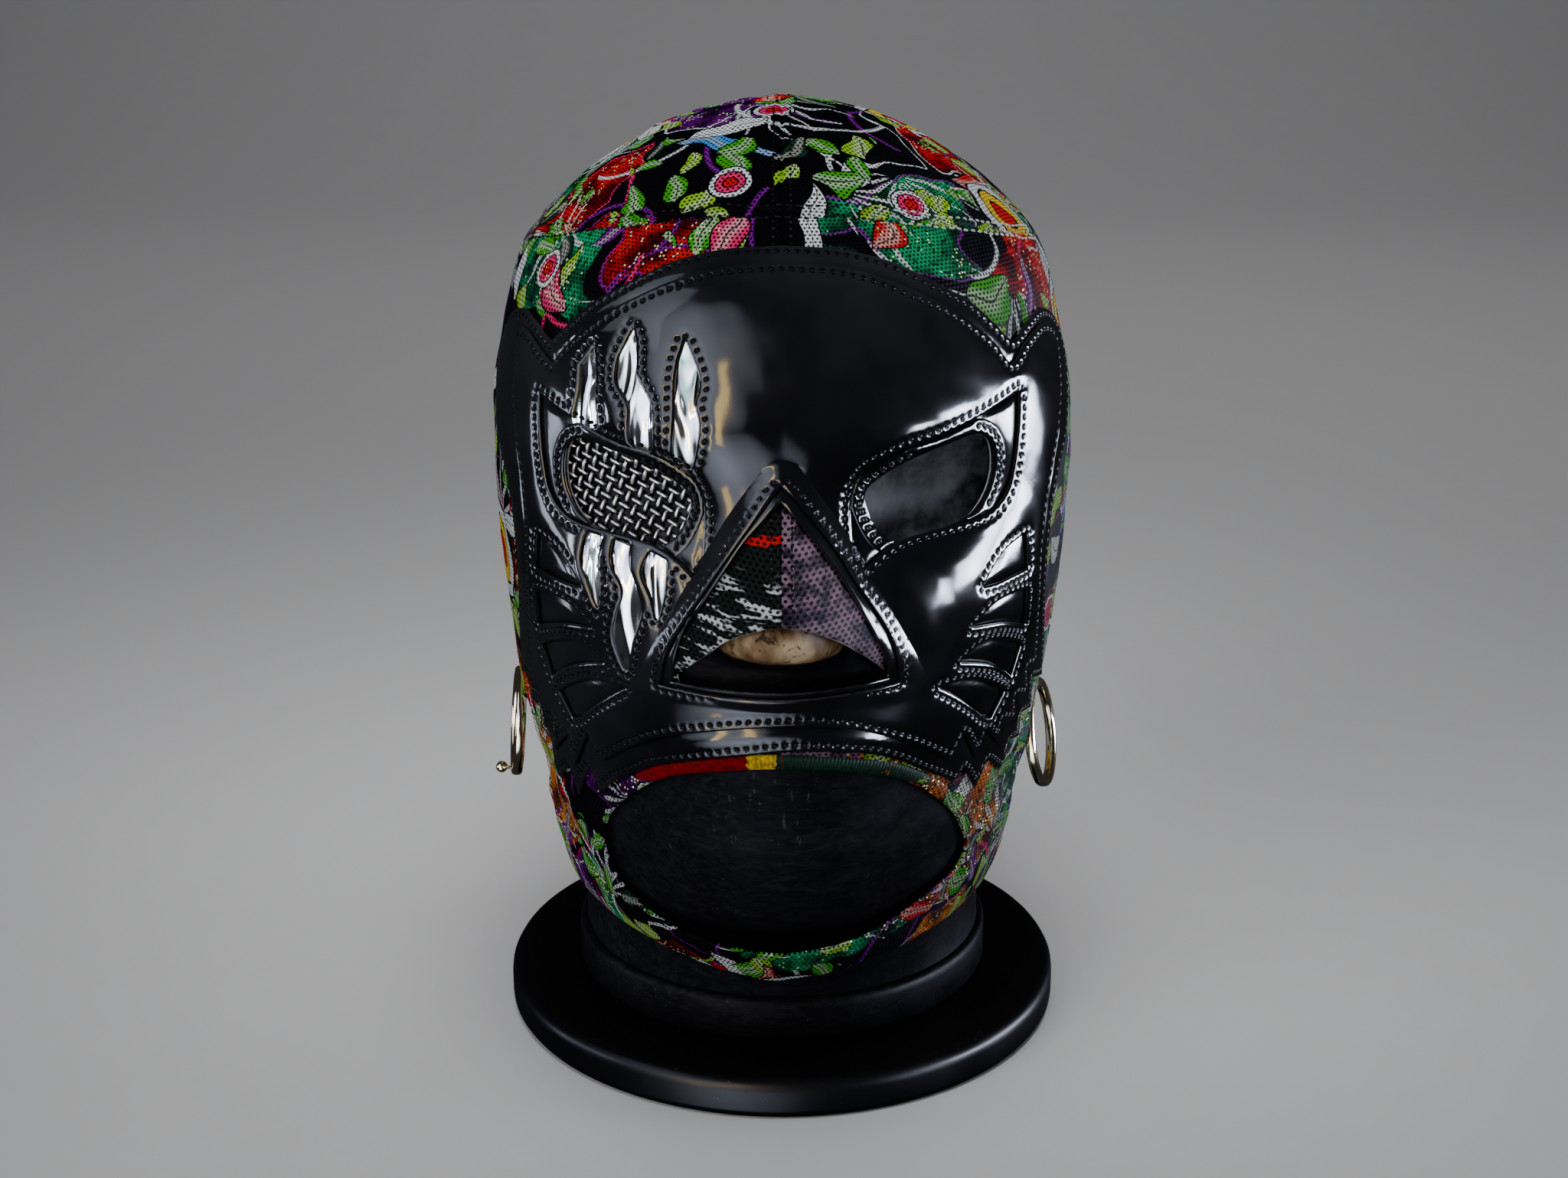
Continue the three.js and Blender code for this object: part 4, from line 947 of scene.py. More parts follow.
class Graph:
    """A short way to write the nodes of a material."""

    def __init__(self, name):
        self.material = bpy.data.materials.get(name) or bpy.data.materials.new(name)
        self.material.use_nodes = True
        self.tree = self.material.node_tree
        self.tree.nodes.clear()
        output = self.tree.nodes.new("ShaderNodeOutputMaterial")
        self.shader = self.tree.nodes.new("ShaderNodeBsdfPrincipled")
        self.tree.links.new(self.shader.outputs["BSDF"], output.inputs["Surface"])

    def node(self, kind, inputs=None, **settings):
        node = self.tree.nodes.new("ShaderNode" + kind)
        for key, value in settings.items():
            setattr(node, key, value)
        for key, value in (inputs or {}).items():
            self.put(node.inputs[key], value)
        return node

    def put(self, socket, value):
        if isinstance(value, bpy.types.NodeSocket):
            self.tree.links.new(value, socket)
        elif hasattr(value, "__len__") and socket.type == "RGBA":
            socket.default_value = (*value[:3], 1)
        else:
            socket.default_value = value

    def set(self, **inputs):
        for key, value in inputs.items():
            self.put(self.shader.inputs[key.replace("_", " ")], value)
        return self.material

    def math(self, operation, *values):
        return self.sum_node("Math", operation, values).outputs[0]

    def vector(self, operation, *values):
        outputs = self.sum_node("VectorMath", operation, values).outputs
        return outputs["Value" if operation == "LENGTH" else "Vector"]

    def sum_node(self, kind, operation, values):
        node = self.node(kind, operation=operation)
        for socket, value in zip(node.inputs, values):
            self.put(socket, value)
        return node

    def times(self, value, *others):
        for other in others:
            value = self.math("MULTIPLY", value, other)
        return value

    def plus(self, a, b):
        return self.math("ADD", a, b)

    def minus(self, a, b):
        return self.math("SUBTRACT", a, b)

    def above(self, a, b):
        return self.math("GREATER_THAN", a, b)

    def below(self, a, b):
        return self.math("LESS_THAN", a, b)

    def shifted(self, coordinate, x, y):
        return self.vector("ADD", coordinate, (x, y, 0.0))

    def stretched(self, coordinate, *by):
        return self.vector("MULTIPLY", coordinate, by)

    def axes(self, vector):
        return tuple(self.node("SeparateXYZ", {"Vector": vector}).outputs)

    def chances(self, cells):
        """Three chances between 0 and 1 that each cell has"""
        return tuple(self.node("SeparateColor", {"Color": cells["Color"]}).outputs)

    def mix(self, factor, a, b, blend="MIX"):
        node = self.node("Mix", data_type="RGBA", blend_type=blend)
        for index, value in ((0, factor), (6, a), (7, b)):
            self.put(node.inputs[index], value)
        return node.outputs[2]

    def between(self, value, low, high, start=0.0, end=1.0):
        """Changes from start to end as the value goes from low to high."""
        node = self.node("MapRange", interpolation_type="SMOOTHSTEP")
        for index, item in enumerate((value, low, high, start, end)):
            self.put(node.inputs[index], item)
        return node.outputs[0]

    def fade(self, value, low, high, start=1.0):
        """Falls from start to nothing as the value goes from low to high."""
        return self.between(value, low, high, start, 0.0)

    def palette(self, value, colours):
        """One of the colours, each over an equal share of the values"""
        return self.ramp(value, [(k / len(colours), colour) for k, colour in enumerate(colours)], "CONSTANT")

    def ramp(self, value, stops, interpolation="LINEAR"):
        node = self.node("ValToRGB", {"Fac": value})
        ramp = node.color_ramp
        ramp.interpolation = interpolation
        while len(ramp.elements) < len(stops):
            ramp.elements.new(0.5)
        for element, (position, _) in zip(ramp.elements, stops):
            element.position = position
        for element, (_, colour) in zip(ramp.elements, stops):
            element.color = (*colour[:3], 1)
        return node.outputs["Color"]

    def noise(self, coordinate, scale, detail=2.0, roughness=0.5, distortion=0.0):
        inputs = {"Vector": coordinate, "Scale": scale, "Detail": detail, "Roughness": roughness,
                  "Distortion": distortion}
        return self.node("TexNoise", inputs).outputs["Fac"]

    def warped(self, coordinate, scale, detail, reach):
        """Places moved about in the plane by a noise"""
        inputs = {"Vector": coordinate, "Scale": scale, "Detail": detail}
        shift = self.vector("SUBTRACT", self.node("TexNoise", inputs).outputs["Color"], (0.5, 0.5, 0.5))
        return self.vector("ADD", coordinate, self.stretched(shift, reach, reach, 0.0))

    def cells(self, coordinate, scale, randomness, feature="F1"):
        inputs = {"Vector": coordinate, "Scale": scale, "Randomness": randomness}
        return self.node("TexVoronoi", inputs, voronoi_dimensions="2D", feature=feature).outputs

    def coordinates(self):
        return self.node("TexCoord").outputs["Object"]

    def map(self, name):
        return self.node("UVMap", uv_map=name).outputs["UV"]

    def bump(self, height, strength, distance, normal=None):
        inputs = {"Height": height, "Strength": strength, "Distance": distance}
        if normal is not None:
            inputs["Normal"] = normal
        return self.node("Bump", inputs).outputs["Normal"]

    def perforation(self, coordinate, pitch):
        """Distance to the nearest hole of a hexagonal pattern, in pitches"""
        found = []
        for shift in (0.0, 0.5):
            place_in = self.vector("DIVIDE", coordinate, (pitch, pitch * math.sqrt(3), 1))
            part = self.vector("FRACTION", self.shifted(place_in, shift, shift))
            away = self.vector("SUBTRACT", part, (0.5, 0.5, 0.0))
            found.append(self.vector("LENGTH", self.stretched(away, 1.0, math.sqrt(3), 0.0)))
        return self.math("MINIMUM", *found)


def scattered(g, coordinate, cell):
    """Cells strewn over the cloth: the place from a cell's middle, turned at random, and two chances"""
    cells = g.cells(coordinate, 1 / cell, 0.8)
    away = g.vector("SUBTRACT", coordinate, cells["Position"])
    turn, chance, shade = g.chances(cells)
    inputs = {"Vector": away, "Angle": g.times(turn, 2 * math.pi)}
    return g.node("VectorRotate", inputs, rotation_type="Z_AXIS").outputs["Vector"], chance, shade


def leaves(g, coordinate, cell, size, colours, presence):
    """Leaves, petals or blades with an outline and a vein: how much of one covers a place, and its colour"""
    turned, chance, shade = scattered(g, coordinate, cell)
    along, aside, _ = g.axes(g.vector("DIVIDE", turned, (*size, 1.0)))
    square = g.times(along, along)
    across = g.math("ABSOLUTE", g.minus(aside, g.times(square, 0.4)))
    body = g.minus(g.minus(1.0, square), across)
    cover = g.times(g.between(body, 0.0, 0.03), g.below(chance, presence))
    colour = g.palette(shade, colours)
    colour = g.mix(g.fade(across, 0.05, 0.5, 0.7), colour, g.mix(0.45, colour, (0.9, 0.88, 0.8)))
    dark = g.math("MAXIMUM", g.fade(across, 0.03, 0.07, 0.85), g.fade(body, 0.1, 0.17))
    return cover, g.mix(dark, colour, (0.004, 0.004, 0.005))


def discs(g, coordinate, cell, radius, colours, presence):
    """Ringed discs, half of them cut across: how much of one covers a place, and its colour"""
    turned, chance, shade = scattered(g, coordinate, cell)
    away = g.math("DIVIDE", g.vector("LENGTH", turned), radius)
    half = g.math("MAXIMUM", g.above(shade, 0.5), g.above(g.axes(turned)[1], 0.0))
    black, rim, middle, heart = colours
    stops = ((0.0, heart), (0.3, black), (0.36, middle), (0.62, black), (0.68, rim), (0.9, black))
    return g.times(g.fade(away, 0.96, 1.0), g.below(chance, presence), half), g.ramp(away, stops, "CONSTANT")


def bursts(g, coordinate, cell, presence):
    """Fine strokes that fan out from a point: how much of one covers a place"""
    turned, chance, _ = scattered(g, coordinate, cell)
    x, y, _ = g.axes(turned)
    away = g.math("DIVIDE", g.vector("LENGTH", turned), cell)
    wobble = g.times(g.noise(coordinate, 0.9, 1.0), 6.0)
    beat = g.math("SINE", g.plus(g.times(g.math("ARCTAN2", y, x), 17.0), wobble))
    stroke = g.above(beat, g.between(away, 0.1, 0.62, 0.1, 0.97))
    return g.times(stroke, g.times(g.above(x, 0.0), g.above(away, 0.09)), g.below(chance, presence))


def arcs(g, coordinate, cell, radius, colours, presence):
    """Thin halves of large rings: how much of one covers a place, and its colour"""
    turned, chance, shade = scattered(g, coordinate, cell)
    away = g.math("DIVIDE", g.vector("LENGTH", turned), radius)
    ring = g.times(g.between(away, 0.9, 0.94), g.fade(away, 0.96, 1.0))
    half = g.above(g.axes(turned)[1], 0.0)
    return g.times(ring, half, g.below(chance, presence)), g.palette(shade, colours)


def nose_cloth(g, coordinate, colours):
    """The cloth over the nose: how much of it covers a place, and the colour of its two darker halves"""
    x, y, _ = g.axes(coordinate)
    cover = g.fade(g.math("ABSOLUTE", x), 3.1, 3.3)
    cover = g.times(cover, g.between(y, -13.2, -13.4), g.between(y, -21.0, -20.8))
    bars = g.between(g.noise(g.stretched(coordinate, 0.3, 1.0, 1.0), 4.2, 2.0, 0.6, 0.4), 0.52, 0.6)
    bars = g.times(bars, g.between(y, -15.6, -16.2), 0.9)
    left = g.mix(bars, (0.009, 0.013, 0.01), colours.white)
    off = g.math("ABSOLUTE", g.plus(g.plus(y, 14.95), g.times(x, -0.2)))
    flick = g.plus(off, g.times(g.noise(coordinate, 4.0), 0.35))
    left = g.mix(g.fade(flick, 0.24, 0.28), left, colours.red)
    spots = g.between(g.noise(coordinate, 2.2, 3.0, 0.65), 0.4, 0.6)
    right = g.mix(spots, (0.02, 0.012, 0.028), (0.24, 0.14, 0.21))
    edge = g.plus(x, g.times(y, 0.28))
    right = g.mix(g.between(edge, -2.9, -2.6, 0.0, 0.9), right, colours.black)
    stripe = g.times(g.between(edge, -2.85, -2.8), g.fade(edge, -2.72, -2.66))
    return cover, g.mix(g.above(x, 0.0), left, g.mix(stripe, right, (0.5, 0.25, 0.45)))


def patches(g, coordinate, colours):
    """Outlined patches on black: their colour, and where they may sparkle"""
    bent = g.shifted(g.warped(coordinate, 0.3, 1.5, 5.0), 4.6, 2.2)
    edge = g.cells(bent, 0.24, 1.0, "DISTANCE_TO_EDGE")["Distance"]
    ground, drawn, tint = g.chances(g.cells(bent, 0.24, 1.0))
    black, red, mint, orange = colours.black, colours.red, colours.mint, colours.orange
    grounds = (black, red, mint, black, mint, red, orange, black, red, orange, colours.violet, black)
    paint = g.palette(ground, grounds)
    lit = g.palette(ground, [(float(tone is not black),) * 3 for tone in grounds])
    dots = g.cells(bent, 2.6, 0.5)["Distance"]
    paint = g.mix(g.fade(dots, 0.16, 0.2, 0.8), paint, black)
    paint = g.mix(g.fade(g.noise(coordinate, 0.8), 0.4, 0.62, 0.9), paint, black)
    rim = g.times(g.between(edge, 0.055, 0.06), g.fade(edge, 0.072, 0.078), g.above(drawn, 0.4))
    tints = (colours.violet, red, colours.pink, colours.violet, colours.white)
    colour = g.mix(g.between(edge, 0.05, 0.06), black, paint)
    return g.mix(rim, colour, g.palette(tint, tints)), g.times(g.between(edge, 0.08, 0.12), lit)


def cloth_colour(g, coordinate, colours):
    """The print: patches, arcs, fine strokes, leaves, petals and discs, and where it sparkles"""
    colour, sparkle = patches(g, coordinate, colours)
    white, violet, pink = colours.white, colours.violet, colours.pink
    green, lime = colours.green, colours.lime
    found = []
    for k in range(2):
        moved = g.shifted(coordinate, 3.1 + 2.7 * k, 6.3 + 5.9 * k)
        found.append(arcs(g, moved, 4.6, 2.1, (violet, pink, white, violet), 0.75))
    found.append((g.times(bursts(g, g.shifted(coordinate, 8.4, 2.6), 3.6, 0.75), 0.75), white))
    green_zone = g.between(g.noise(g.shifted(coordinate, 31.0, 17.0), 0.3, 1.0), 0.46, 0.53)
    layers = (
        (3.2, (1.9, 0.36), (white, colours.sky, white, violet, white), 0.6),
        (1.2, (0.62, 0.4), (green, lime, green, lime, colours.dark_green), green_zone),
        (2.4, (0.95, 0.5), (lime, pink, green, white, colours.red), 0.35),
    )
    for k, (step, size, tints, presence) in enumerate(layers):
        moved = g.warped(g.shifted(coordinate, 7.3 * k + 2.9, -5.1 * k + 1.2), 0.9, 0.0, 0.9)
        found.append(leaves(g, moved, step, size, tints, presence))
    rounds = ((3.4, 0.6, pink, 0.35), (6.2, 1.5, colours.yellow, 0.5))
    for k, (step, radius, middle, presence) in enumerate(rounds):
        moved = g.shifted(coordinate, 1.7 + 4.3 * k, 9.4 - 3.7 * k)
        found.append(discs(g, moved, step, radius, (colours.black, white, middle, colours.red), presence))
    cover, nose = nose_cloth(g, coordinate, colours)
    for layer, paint in (*found, (cover, nose)):
        colour = g.mix(layer, colour, paint)
    return colour, g.times(sparkle, g.minus(1.0, cover))


def cloth_material(name, sizes, colours):
    g = Graph(name)
    coordinate = g.map("print")
    colour, sparkle = cloth_colour(g, coordinate, colours)
    holes = g.perforation(coordinate, sizes.perforation_pitch / 10)
    fine = g.noise(coordinate, 40.0)
    colour = g.mix(g.fade(fine, 0.3, 0.7, 0.4), colour, (0.004, 0.004, 0.005))
    colour = g.mix(g.fade(holes, 0.22, 0.33, 0.95), colour, (0.002, 0.002, 0.003))
    dots = g.cells(coordinate, 10.0, 0.4)
    chance, shade, _ = g.chances(dots)
    limit = g.between(g.noise(coordinate, 0.9, 1.0), 0.45, 0.62, 0.98, 0.7)
    spark = g.times(g.fade(dots["Distance"], 0.24, 0.34), g.above(chance, limit), sparkle)
    tints = ((0.0, (0.7, 1.0, 0.6)), (0.4, (1.0, 0.88, 0.3)), (1.0, (0.35, 0.9, 0.65)))
    colour = g.mix(spark, colour, g.ramp(shade, tints))
    height = g.plus(g.between(holes, 0.15, 0.38), g.times(fine, 0.3))
    rough = g.minus(0.65, g.times(spark, 0.4))
    return g.set(Base_Color=colour, Roughness=rough, Metallic=g.times(spark, 0.3), Specular_IOR_Level=0.05,
                 Normal=g.bump(height, 0.6, 0.0003))


def patent_material(name, colour):
    """Patent leather: a smudged mirror with a slow swell"""
    g = Graph(name)
    place_at = g.coordinates()
    slow = g.noise(place_at, 55.0, 2.0, 0.5, 0.4)
    smudge = g.noise(place_at, 28.0, 3.0, 0.6)
    tone = g.mix(g.between(smudge, 0.35, 0.75), colour, (0.019, 0.019, 0.022))
    rough = g.between(smudge, 0.3, 0.8, 0.09, 0.16)
    normal = g.bump(g.noise(place_at, 900.0), 0.05, 0.0001, g.bump(slow, 0.25, 0.0006))
    return g.set(Base_Color=tone, Roughness=rough, Normal=normal, Specular_IOR_Level=0.42)


def cut_material(name):
    g = Graph(name)
    grain = g.noise(g.coordinates(), 900.0)
    tone = g.ramp(grain, ((0.3, (0.006, 0.006, 0.007)), (0.75, (0.03, 0.03, 0.032))))
    return g.set(Base_Color=tone, Roughness=0.4, Specular_IOR_Level=0.3, Normal=g.bump(grain, 0.4, 0.0002))


def metal_material(name, colour, low, high, wave=0.0, tint=None):
    g = Graph(name)
    place_at = g.coordinates()
    cloud = g.noise(place_at, 60.0, 3.0)
    rough = g.between(cloud, 0.3, 0.8, low, high)
    tone = g.mix(g.between(cloud, 0.35, 0.7, 0.0, 0.6), colour, tint or scaled(colour, 0.8))
    height = g.noise(place_at, 120.0, 2.0, 0.5, 0.5)
    return g.set(Base_Color=tone, Metallic=1.0, Roughness=rough, Normal=g.bump(height, wave, 0.0008))


def foil_material(name, colour):
    """Mirror foil, crinkled in soft streaks down the flames and painted darker along them as a reflection of
    dark surroundings, with a faint play of colours
    """
    g = Graph(name)
    place_at = g.coordinates()
    streak = g.noise(g.stretched(place_at, 1.0, 1.0, 0.16), 210.0, 1.0, 0.4, 0.6)
    cloud = g.noise(g.stretched(place_at, 1.0, 1.0, 0.4), 110.0)
    # Painted reflection: the streaks darken the foil as dark surroundings mirrored in it would
    tone = g.mix(g.between(streak, 0.52, 0.66, 0.0, 0.85), colour, (0.16, 0.17, 0.21))
    tints = ((0.0, (0.7, 0.78, 1.0)), (0.35, (1.0, 1.0, 1.0)), (0.55, (1.0, 0.95, 0.8)),
             (0.62, (0.62, 0.95, 0.75)), (0.7, (0.95, 0.62, 0.85)), (1.0, (0.7, 0.78, 1.0)))
    tone = g.mix(g.between(cloud, 0.45, 0.6), tone, g.ramp(cloud, tints), "MULTIPLY")
    rough = g.between(cloud, 0.35, 0.65, 0.08, 0.18)
    return g.set(Base_Color=tone, Metallic=1.0, Roughness=rough, Normal=g.bump(streak, 0.8, 0.0025))


def wire_material(name, colour):
    """Steel painted with shade: near black where a wire dips under another, its own grey where it lies on top
    """
    g = Graph(name)
    cloud = g.noise(g.coordinates(), 260.0, 3.0)
    tone = g.mix(g.between(cloud, 0.4, 0.7, 0.0, 0.6), colour, scaled(colour, 0.7))
    # Painted shade: the steel is painted near black by the wire's level in the weave, where it dips under
    # another wire
    tone = g.mix(g.between(g.axes(g.map("level"))[0], 0.35, 0.9), (0.02, 0.02, 0.022), tone)
    rough = g.between(cloud, 0.3, 0.8, 0.26, 0.4)
    return g.set(Base_Color=tone, Metallic=1.0, Roughness=rough, Normal=g.bump(cloud, 0.3, 0.0004))


def thread_material(name, colour):
    g = Graph(name)
    twist = g.noise(g.coordinates(), 1500.0)
    tone = g.mix(g.between(twist, 0.3, 0.7), colour, scaled(colour, 1.6))
    return g.set(Base_Color=tone, Roughness=0.42, Specular_IOR_Level=0.16, Normal=g.bump(twist, 0.3, 0.0002))


def form_material(name):
    """Satin black with fine scratches, worn through to cream on the tip of the nose, and painted a lighter
    grey on its upper part as light
    """
    g = Graph(name)
    place_at = g.coordinates()
    x, y, z = g.axes(place_at)
    streaks = g.noise(g.stretched(place_at, 1.0, 1.0, 0.05), 900.0, 3.0, 0.6)
    marks = g.noise(g.stretched(place_at, 0.4, 1.0, 1.4), 320.0, 4.0, 0.7, 1.5)
    scratch = g.times(g.between(streaks, 0.62, 0.75), g.between(marks, 0.5, 0.62))
    tone = g.mix(g.between(marks, 0.35, 0.7), (0.008, 0.008, 0.01), (0.018, 0.018, 0.02))
    tone = g.mix(scratch, tone, (0.06, 0.06, 0.064))
    # Painted light: from about 0.15 m up, where the form shows through the eye holes in the shade of the
    # patches, a mottle paints it lighter grey
    mottle = g.between(g.noise(place_at, 150.0, 4.0, 0.65), 0.35, 0.7, 0.25, 1.0)
    tone = g.mix(g.times(g.between(z, 0.15, 0.165), mottle), tone, (0.13, 0.135, 0.15))
    worn = g.times(g.between(streaks, 0.6, 0.68), g.between(marks, 0.46, 0.54), g.between(z, 0.08, 0.098),
                   g.between(g.math("ABSOLUTE", x), 0.03, 0.012), g.between(z, 0.112, 0.104))
    tone = g.mix(worn, tone, (0.07, 0.07, 0.075))
    across = g.math("DIVIDE", x, 0.0205)
    up = g.math("DIVIDE", g.minus(z, 0.1475), 0.0072)
    ragged = g.minus(g.noise(place_at, 240.0, 3.0, 0.6), 0.5)
    away = g.plus(g.plus(g.times(across, across), g.times(up, up)), g.times(ragged, 0.7))
    bare = g.times(g.fade(away, 0.75, 1.05), g.below(y, -0.09))
    stained = g.plus(g.noise(place_at, 130.0, 3.0), g.times(away, 0.3))
    stops = ((0.42, (0.52, 0.39, 0.24)), (0.6, (0.24, 0.15, 0.08)), (0.78, (0.07, 0.04, 0.022)))
    gone = g.plus(g.noise(place_at, 300.0, 4.0, 0.7, 1.0), g.times(away, 0.12))
    gone = g.between(gone, 0.6, 0.68, 0.0, 0.85)
    tone = g.mix(bare, tone, g.mix(gone, g.ramp(stained, stops), (0.012, 0.008, 0.006)))
    rough = g.between(g.noise(place_at, 70.0, 3.0), 0.3, 0.7, 0.42, 0.55)
    normal = g.bump(marks, 0.06, 0.0002)
    return g.set(Base_Color=tone, Roughness=rough, Specular_IOR_Level=0.06, Normal=normal)


def gloss_material(name):
    g = Graph(name)
    place_at = g.coordinates()
    mottle = g.noise(place_at, 700.0, 4.0, 0.7)
    # Light specks of dust where the mottle is high
    tone = g.mix(g.between(mottle, 0.66, 0.76), (0.006, 0.006, 0.007), (0.1, 0.1, 0.1))
    rough = g.between(g.noise(place_at, 30.0, 3.0), 0.3, 0.7, 0.3, 0.4)
    return g.set(Base_Color=tone, Roughness=rough, Specular_IOR_Level=0.2, Normal=g.bump(mottle, 0.03, 0.0001))


def binding_material(name, colours):
    """Coloured threads side by side, changing colour along the edge"""
    g = Graph(name)
    place_at = g.coordinates()
    uneven = g.times(g.minus(g.noise(place_at, 500.0, 1.0), 0.5), 0.01)
    zone = g.plus(g.axes(g.map("along"))[0], uneven)
    stops = ((0.0, colours.dark_green), (0.003, colours.yellow), (0.024, scaled(colours.red, 0.5)),
             (0.5, colours.dark_green))
    speck = g.noise(place_at, 800.0)
    tone = g.mix(g.fade(speck, 0.35, 0.65, 0.6), g.ramp(zone, stops, "CONSTANT"), (0.01, 0.01, 0.01))
    return g.set(Base_Color=tone, Roughness=0.6, Specular_IOR_Level=0.06, Normal=g.bump(speck, 0.5, 0.0002))


def lining_material(name):
    g = Graph(name)
    weave = g.noise(g.coordinates(), 1200.0)
    tone = g.mix(g.between(weave, 0.3, 0.7), (0.32, 0.32, 0.34), (0.5, 0.5, 0.52))
    return g.set(Base_Color=tone, Roughness=0.8, Normal=g.bump(weave, 0.5, 0.0002))


# What a user may change
def colour_prop(name, description, default):
    return bpy.props.FloatVectorProperty(name=name, description=description, default=default, subtype="COLOR",
                                         size=3, min=0, max=1)


def number_prop(name, description, default):
    return bpy.props.FloatProperty(name=name, description=description, default=default)


class MaskSizes(bpy.types.PropertyGroup):
    stitch_pitch: number_prop("Stitch pitch", "Between two stitches, mm", 2.4)
    stitch_length: number_prop("Stitch length", "Of one stitch, mm", 1.7)
    thread_radius: number_prop("Thread radius", "Of the sewing thread, mm", 0.34)
    cloth_spacing: number_prop("Cloth mesh", "Size of its facets, mm", 1.6)
    vinyl_spacing: number_prop("Patent mesh", "Size of its facets, mm", 0.85)
    puff: number_prop("Puff", "How far the patent swells from its edges, mm", 0.4)
    wrinkle: number_prop("Wrinkles", "Depth of the cloth's wrinkles, mm", 0.5)
    unevenness: number_prop("Unevenness", "Of the patent, mm", 0.08)
    binding_width: number_prop("Binding width", "Round the mouth, mm", 4.4)
    binding_pitch: number_prop("Binding threads", "Between two, mm", 0.95)
    perforation_pitch: number_prop("Perforation", "Between two holes, mm", 1.35)
    wire_radius: number_prop("Wire radius", "Of the eye screen, mm", 0.52)


class MaskColours(bpy.types.PropertyGroup):
    patent: colour_prop("Patent", "The two panels", (0.011, 0.011, 0.013))
    black: colour_prop("Print black", "Ground of the print", (0.004, 0.004, 0.005))
    red: colour_prop("Print red", "Patches", (0.5, 0.003, 0.006))
    mint: colour_prop("Print mint", "Patches", (0.006, 0.27, 0.1))
    orange: colour_prop("Print orange", "Patches", (0.65, 0.15, 0.002))
    green: colour_prop("Print green", "Leaves", (0.03, 0.28, 0.004))
    lime: colour_prop("Print lime", "Leaves", (0.2, 0.42, 0.004))
    dark_green: colour_prop("Dark green", "Binding", (0.01, 0.035, 0.02))
    yellow: colour_prop("Print yellow", "Discs and petals", (0.75, 0.48, 0.006))
    white: colour_prop("Print white", "Strokes and petals", (0.6, 0.64, 0.68))
    sky: colour_prop("Print blue", "Petals", (0.04, 0.22, 0.55))
    pink: colour_prop("Print pink", "Petals", (0.6, 0.02, 0.12))
    violet: colour_prop("Print violet", "Patches and arcs", (0.14, 0.005, 0.2))
    thread: colour_prop("Thread", "On the patent", (0.003, 0.003, 0.004))
    pale_thread: colour_prop("Pale thread", "On the cloth", (0.3, 0.32, 0.32))
    silver: colour_prop("Silver", "Inlays", (0.93, 0.94, 0.97))
    steel: colour_prop("Steel", "Screen and eyelets", (0.62, 0.61, 0.6))
    gold: colour_prop("Gold", "Hoops", (0.86, 0.77, 0.6))


class MaskStage(bpy.types.PropertyGroup):
    lens: number_prop("Lens", "Focal length on a 36 mm sensor", 50.977)
    pitch: bpy.props.FloatProperty(name="Camera pitch", description="Below level", default=math.radians(18),
                                   subtype="ANGLE")
    camera: bpy.props.FloatVectorProperty(name="Camera", description="Its place", subtype="TRANSLATION",
                                          unit="LENGTH", default=(0.00055, -0.617, 0.327))
    floor: colour_prop("Floor", "Pale floor", (0.47, 0.47, 0.48))
    ambient: number_prop("Ambient", "Strength of the surrounding light", 0.07)


def slit_outline():
    """The gap between the cloth's edges at the back, rounded at its top"""
    heights = np.linspace(HEM - 2, SLIT["top"], 120)
    half = np.interp(heights, (HEM, SLIT["top"]), (SLIT["bottom_half"], SLIT["top_half"]))
    edge = np.column_stack([half / np.interp(heights, HEIGHTS, HEAD_TABLE[:, 3]) * PATTERN_RADIUS, heights])
    turns = np.linspace(math.pi, 0, 9)[1:-1, None]
    arch = np.hstack([np.cos(turns), np.sin(turns)]) * SLIT["top_half"] + (0, SLIT["top"])
    return np.vstack([edge * (-1, 1), arch, edge[::-1]]) + (BACK_U, 0)


def rectangle(left, right, bottom, top):
    """A patch of the pattern at the middle of the back"""
    return np.array(((left, bottom), (right, bottom), (right, top), (left, top))) + (BACK_U, 0)


def panel_outline(top, left, steps_left, lip, steps_right, right):
    """The outline of a panel, from the middle of its top round by the viewer's left"""
    return outline((mirrored(top), left, *steps_left, lip, *steps_right[::-1], right[::-1], top[::-1]))


def under_outline():
    return panel_outline(UNDER_TOP, mirrored(UNDER_SIDE), UNDER_STEPS_LEFT, UNDER_LIP, UNDER_STEPS_RIGHT,
                         UNDER_SIDE)


def face_outline():
    return panel_outline(FACE_TOP, FACE_SIDE_LEFT, FACE_STEPS_LEFT, FACE_LIP, FACE_STEPS_RIGHT,
                         FACE_SIDE_RIGHT)


def cloth_looks(sizes, colours):
    """The materials of a piece of cloth: its face and its back"""
    return [cloth_material("printed_cloth", sizes, colours), lining_material("cloth_lining")]


def patent_looks(colours):
    """The materials of a patent piece: its face, its cut edge and the dull dark thread painted round its
    needle holes as their shade
    """
    return [patent_material("patent_vinyl", colours.patent), cut_material("patent_cut_edge"),
            thread_material("dark_thread", colours.thread)]


def panel_relief(shell, paths, sizes, amount, seed, depth=DIP["depth"]):
    """Puff, unevenness, stitch dips and a rolled edge of a patent piece"""
    gap = shell.edge_distance
    puff = sizes.puff * (1 - np.exp(-gap / PUFF_REACH))
    large = ripple(shell.base, UNEVEN["large"], seed)
    small = ripple(shell.base, UNEVEN["small"], seed + 1)
    uneven = sizes.unevenness * (large + UNEVEN["share"] * small) * np.minimum(gap / UNEVEN["margin"], 1)
    dips = row_relief(shell.base, paths, sizes.stitch_pitch, depth)
    return amount * (puff + uneven) - shell.rolled("patent") + dips


